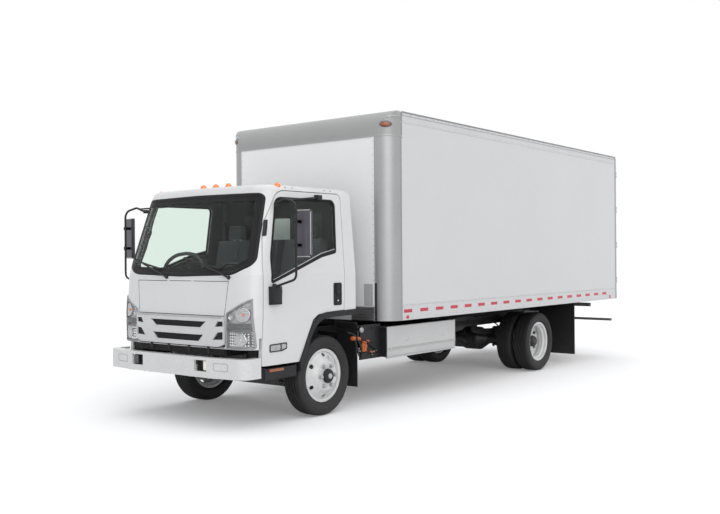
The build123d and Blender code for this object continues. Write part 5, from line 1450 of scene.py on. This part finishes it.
dash.slab("x", [(-720, 1010, 30), (-650, 1010, 30), (-610, 1240, 50), (-690, 1330, 40)], (-90, 170), 12)
dash.tube([(-660, -750, 1440), (-600, -742, 1560), (-470, -735, 1632), (-290, -730, 1652), (-150, -728, 1628),
           (-70, -726, 1560), (-50, -724, 1450)], 19, 12, bend=110)
dash.tube([(170, -410, 1130), (176, -420, 1330), (172, -430, 1392)], 10, 10, bend=40)
dash.turned([(1385, 0), (1385, 18), (1400, 26), (1428, 24), (1440, 12), (1440, 0)], (172, -432, 0), "z", 18)
dash.tube([(458, -690, 1420), (600, -700, 1440), (640, -690, 1446)], 8, 8)
dash.done()
shine = Piece("dash_details", "cab", "dash_plastic", "edge_grey", smooth=50)
for x in (-700, -460, 60, 740):
    shine.slab("x", [(-690, 1285, 14), (-672, 1285, 8), (-684, 1350, 14), (-702, 1350, 8)],
               (x - 52, x + 52), 3)
shine.slab("x", [(-664, 1180, 4), (-656, 1180, 4), (-690, 1290, 4), (-698, 1290, 4)], (-60, 140), 3)
shine.done()
pedals = Piece("pedals", "cab", "dash_plastic", "rubber")
for x in (330, 450, 570):
    pedals.slab("x", [(-930, 905, 6), (-918, 900, 6), (-890, 990, 6), (-902, 996, 6)], (x - 34, x + 34), 3)
    pedals.tube([(x, -915, 960), (x, -960, 1060), (x, -1000, 1150)], 9, 8, bend=30)
pedals.slab("z", oblong(-830, -170, -960, -440, 30), (876, 882), 2)
pedals.slab("z", oblong(240, 830, -960, -440, 30), (876, 882), 2)
pedals.done()
SEATS = (485, -570, -200)
rest = Piece("headrests", "cab", "seat_fabric", smooth=60)
for x in SEATS:
    rest.slab("x", [(196, 1806, 30), (290, 1806, 30), (300, 1960, 40), (216, 1960, 40)],
              (x - 122, x + 122), 26, segments=3)
for x0, x1 in ((250, 720), (-780, -430), (-410, 110)):
    rest.slab("x", [(-404, 1262, 20), (40, 1250, 20), (60, 1282, 20), (-400, 1296, 30)],
              (x0, x1), 16, segments=2)
    rest.slab("x", [(44, 1292, 10), (74, 1292, 10), (196, 1760, 20), (166, 1776, 16)],
              (x0 + 20, x1 - 20), 14, segments=2)
rest.done()
rod = Piece("headrest_rods", "cab", "dash_plastic", "chrome", smooth=60)
for x in SEATS:
    for s in (-50, 50):
        rod.tube([(x + s, 246, 1770), (x + s, 250, 1830)], 6, 8)
for x in (762, -818):
    rod.tube([(x, 330, 1560), (x, 330, 1640)], 16, 10)
rod.done()
belt = Piece("seat_belts", "cab", "rubber", "seal")
for x in (840, -840):
    s = 1 if x > 0 else -1
    belt.slab("y", oblong(x, x + s * 4, 1980, 1180), (320, 366), 0.5)
    belt.block(sorted((x - s * 4, x + s * 10)), (312, 374), (1966, 2010), 4)
belt.done()
boss = Piece("wheel_boss", "steering_wheel", "dash_plastic", smooth=60)


def on_wheel(x, across, along):
    """A point by the steering wheel's hub, along its shaft."""
    lean = radians(35)
    return (430 + x, -640 + along * sin(lean) + across * cos(lean),
            1430 + along * cos(lean) - across * sin(lean))


boss.rings([[on_wheel(cos(2 * pi * k / 24) * r, sin(2 * pi * k / 24) * r, h) for k in range(24)]
            for r, h in ((20, 14), (62, 16), (72, 24), (66, 38), (40, 46), (4, 48))])
boss.done()
lining = Piece("rear_window_lining", "cab", "dash_plastic", "trim_grey", smooth=40)
for x, z in (((-585, 585), (1470, 1796)), ((122, 585), (1799, 2076)), ((-585, -250), (1799, 2076))):
    lining.block(x, (372, 380), z, 3)
lining.done()

# ---- under the truck ----
under = Piece("spring_clamps", "chassis", "frame_paint", both=True)
for y, low, top in ((0, 300, 450), (REAR_AXLE_Y, 330, 590)):
    for dy in (-52, 52):
        under.tube([(356, y + dy, low), (356, y + dy, top), (430, y + dy, top), (430, y + dy, low)], 8, 8,
                   bend=14)
    under.block((340, 446), (y - 74, y + 74), (low - 12, low + 8), 4)
    for x in (356, 430):
        under.copies(hexagon("z", 26, -16), 2, (x, y - 52, low - 12), (0, 104, 0))
for y in (-570, 570, REAR_AXLE_Y - 650, REAR_AXLE_Y + 650):
    under.tube([(350, y, 590), (440, y, 590)], 17, 12)
    under.copies(hexagon("x", 30, 14), 1, (440, y, 590))
under.tube([(470, 120, 400), (500, 210, 640), (478, 250, 760)], 26, 14)
path = [(470, REAR_AXLE_Y + 150, 420), (480, REAR_AXLE_Y + 260, 640), (470, REAR_AXLE_Y + 300, 780)]
under.tube(path, 28, 14)
under.done()
tanks = Piece("air_tanks", "chassis", "frame_paint", smooth=50)
for x, z in ((-235, 730), (235, 730)):
    tanks.turned([(2330, 0), (2334, 60), (2350, 92), (2380, 104), (2820, 104), (2850, 92), (2866, 60),
                  (2870, 0)], (x, 0, z), "y", 28)
    for y in (2440, 2760):
        tanks.turned([(y - 14, 105), (y - 14, 109), (y + 14, 109), (y + 14, 105)], (x, 0, z), "y",
                     28, closed=True)
for s in (-1, 1):
    tanks.turned([(REAR_AXLE_Y - 190, 0), (REAR_AXLE_Y - 190, 70), (REAR_AXLE_Y - 110, 84),
                  (REAR_AXLE_Y - 100, 84), (REAR_AXLE_Y - 90, 70), (REAR_AXLE_Y - 60, 20),
                  (REAR_AXLE_Y - 60, 0)], (s * 520, 0, 520), "y", 24)
    tanks.tube([(s * 520, REAR_AXLE_Y - 80, 520), (s * 560, REAR_AXLE_Y - 20, 470),
                (s * 590, REAR_AXLE_Y, 440)], 14, 8)
tanks.done()
bands = Piece("fuel_tank_straps", "chassis", "frame_paint", "nut_steel")
for y in (1180, 1550, 1920):
    bands.slab("y", oblong(-1045, -556, 436, 794, 40), (y - 18, y + 18), 1)
bands.turned([(-1075, 0), (-1075, 46), (-1040, 46), (-1040, 0)], (0, 1050, 700), "x", 24)
bands.done()
pipe = Piece("exhaust_clamps", "chassis", "exhaust_steel", "nut_steel")
for y in (2560, 3040):
    pipe.turned([(y - 14, 121), (y - 14, 126), (y + 14, 126), (y + 14, 121)], (-580, 0, 600), "y",
                32, closed=True)
    pipe.tube([(-580, y, 722), (-580, y, 790), (-430, y, 800)], 9, 8, bend=20)
pipe.done()
lines = Piece("brake_lines", "chassis", "rubber", smooth=60)
for s, z in ((1, 700), (1, 730), (-1, 715)):
    lines.tube([(s * 432, -300, z), (s * 432, 1800, z), (s * 432, 3900, z - 20), (s * 428, 6500, z)], 8, 8)
for s in (-1, 1):
    lines.tube([(s * 430, -60, 700), (s * 520, -60, 620), (s * 575, -50, 480), (s * 585, -14, 440)], 9, 8,
               bend=60)
    lines.tube([(s * 430, 4100, 700), (s * 520, 4200, 660), (s * 540, 4300, 560)], 9, 8, bend=60)
for y in range(0, 6400, 400):
    lines.block((424, 446), (y - 9, y + 9), (688, 742), 3)
lines.done()
mounts = Piece("body_mounts", "chassis", "frame_paint", both=True)
for y in (1250, 2250, 3250, 4250, 5250, 6250):
    mounts.block((424, 438), (y - 60, y + 60), (740, 930), 3)
    for z in (790, 880):
        mounts.copies(hexagon("x", 24, 12), 2, (438, y - 34, z), (0, 68, 0))
for y in (1750, 2750, 3750, 5450):
    mounts.slab("y", [(430, 760, 8), (1160, 884, 8), (1160, 912, 8), (430, 912, 8)], (y - 5, y + 5), 1.5)
mounts.done()
radiator = Piece("radiator", "chassis", "cast_block", "grey_aluminium")
for z in range(640, 860, 12):
    radiator.block((-300, 300), (-905, -880), (z, z + 4), 0.6)
for x in ((-330, -296), (296, 330)):
    radiator.block(x, (-915, -870), (620, 880), 6)
radiator.done()


# ---- materials on the plain nodes ----
SLOTS = {
    "frame_paint": "ladder_frame front_axle rear_axle leaf_springs driveshaft fuel_tank box_subframe tie_rod "
                   "knuckle_left knuckle_right",
    "cast_block": "engine_block",
    "exhaust_steel": "exhaust",
    "bright_aluminium": "side_cover",
    "black_plastic": "equipment_plate arch_flares side_steps mirror_left mirror_right",
    "bumper_paint": "front_bumper",
    "underride_steel": "underride_bar",
    "rubber": "mud_flaps",
    "front_wall_painted_light": "box_front_wall",
    "cap_grey": "box_front_cap",
    "box_panel": "box_side_panels cargo_door_left cargo_door_right",
    "roof_sheet": "box_roof",
    "grey_aluminium": "box_corner_posts box_rear_frame",
    "rail_white": "box_rails",
    "deck_wood": "box_floor",
    "cab_paint": "cab_shell front_lid door_left door_right",
    "clear_glass": "cab_glass door_glass_left door_glass_right",
    "grille_plastic": "grille",
    "amber_lens": "roof_lamps",
    "seat_fabric": "seats",
    "dash_plastic": "dashboard steering_wheel",
    "wheel_paint": "front_rim_left front_rim_right rear_rims_left rear_rims_right",
    "tyre": "front_tyre_left front_tyre_right rear_tyres_left rear_tyres_right",
    "lamp_lens": "headlamps",
}
for key, names in SLOTS.items():
    for name in names.split():
        node = bpy.data.objects[name]
        node.data.materials.clear()
        node.data.materials.append(F[key].material)


# ---- floor, world and lamps ----
FLOOR_LIFT = 0.16
WHITE = (1, 1, 1, 1)


def stage_floor():
    mesh = bpy.data.meshes.new("floor")
    reach = 90.0
    corners = [(-reach, -reach, 0), (reach, -reach, 0), (reach, reach, 0), (-reach, reach, 0)]
    mesh.from_pydata(corners, [], [(0, 1, 2, 3)])
    floor = bpy.data.objects.new("floor", mesh)
    bpy.context.scene.collection.objects.link(floor)
    material = bpy.data.materials.new("pale floor")
    material.use_nodes = True
    tree = material.node_tree
    tree.nodes.clear()
    matt = added(tree, "ShaderNodeBsdfDiffuse", {"Color": (0.84, 0.84, 0.85, 1)})
    rays = added(tree, "ShaderNodeLightPath")
    level = added(tree, "ShaderNodeMath", {0: rays.outputs["Is Camera Ray"], 1: FLOOR_LIFT},
                  operation="MULTIPLY")
    glow = added(tree, "ShaderNodeEmission", {"Color": WHITE, "Strength": level.outputs[0]})
    both = added(tree, "ShaderNodeAddShader", {0: matt.outputs[0], 1: glow.outputs[0]})
    added(tree, "ShaderNodeOutputMaterial", {0: both.outputs[0]})
    mesh.materials.append(material)
    floor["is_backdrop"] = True


stage_floor()

world = bpy.data.worlds.new("studio")
bpy.context.scene.world = world
world.use_nodes = True
tree = world.node_tree
tree.nodes.clear()
rays = added(tree, "ShaderNodeLightPath").outputs
most = added(tree, "ShaderNodeMath", {0: rays["Is Camera Ray"], 1: rays["Is Glossy Ray"]},
             operation="MAXIMUM")
seen = added(tree, "ShaderNodeMath", {0: most.outputs[0], 1: rays["Is Transmission Ray"]},
             operation="MAXIMUM")
lit = added(tree, "ShaderNodeBackground", {"Color": (0.97, 0.985, 1.0, 1), "Strength": 0.62})
shown = added(tree, "ShaderNodeBackground", {"Color": WHITE, "Strength": 1.0})
choice = added(tree, "ShaderNodeMixShader", {0: seen.outputs[0], 1: lit.outputs[0], 2: shown.outputs[0]})
added(tree, "ShaderNodeOutputWorld", {0: choice.outputs[0]})


def sun(name, place, spread, strength):
    lamp = bpy.data.lights.new(name, "SUN")
    lamp.angle = radians(spread)
    lamp.energy = strength
    held = bpy.data.objects.new(name, lamp)
    held.location = place
    held.rotation_euler = Vector(place).to_track_quat("Z", "Y").to_euler()
    bpy.context.scene.collection.objects.link(held)


sun("overhead", (0.15, 0.1, 1.0), 80, 1.25)
sun("front left", (1.0, -0.85, 0.55), 50, 1.05)

# ---- camera ----
CAMERA_PLACE = (6.76550926, -6.80299032 - MID_Y * MM, 1.59542224)
aside = radians(38.2709674)
pitch = radians(-0.0291719555)
tilt = radians(-0.397529872)
back = Vector((sin(aside) * cos(pitch), -cos(aside) * cos(pitch), sin(pitch)))
right = (-back).cross(Vector((0, 0, 1))).normalized()
up = right.cross(-back)
across = right * cos(tilt) + up * sin(tilt)
above = up * cos(tilt) - right * sin(tilt)
lens_data = bpy.data.cameras.new("camera")
lens_data.sensor_width = 36
lens_data.lens = 44.2757
lens_data.clip_end = 400
camera = bpy.data.objects.new("camera", lens_data)
turned_axes = Matrix((across, above, back)).transposed().to_4x4()
camera.matrix_world = Matrix.Translation(CAMERA_PLACE) @ turned_axes
bpy.context.scene.collection.objects.link(camera)
bpy.context.scene.camera = camera
bpy.context.scene.view_settings.view_transform = "Standard"

END_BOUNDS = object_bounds()


def plain(value):
    return float(value) if isinstance(value, (int, float)) else [plain(v) for v in value]


{"cad": plain(START_BOUNDS), "visual": plain(END_BOUNDS)}
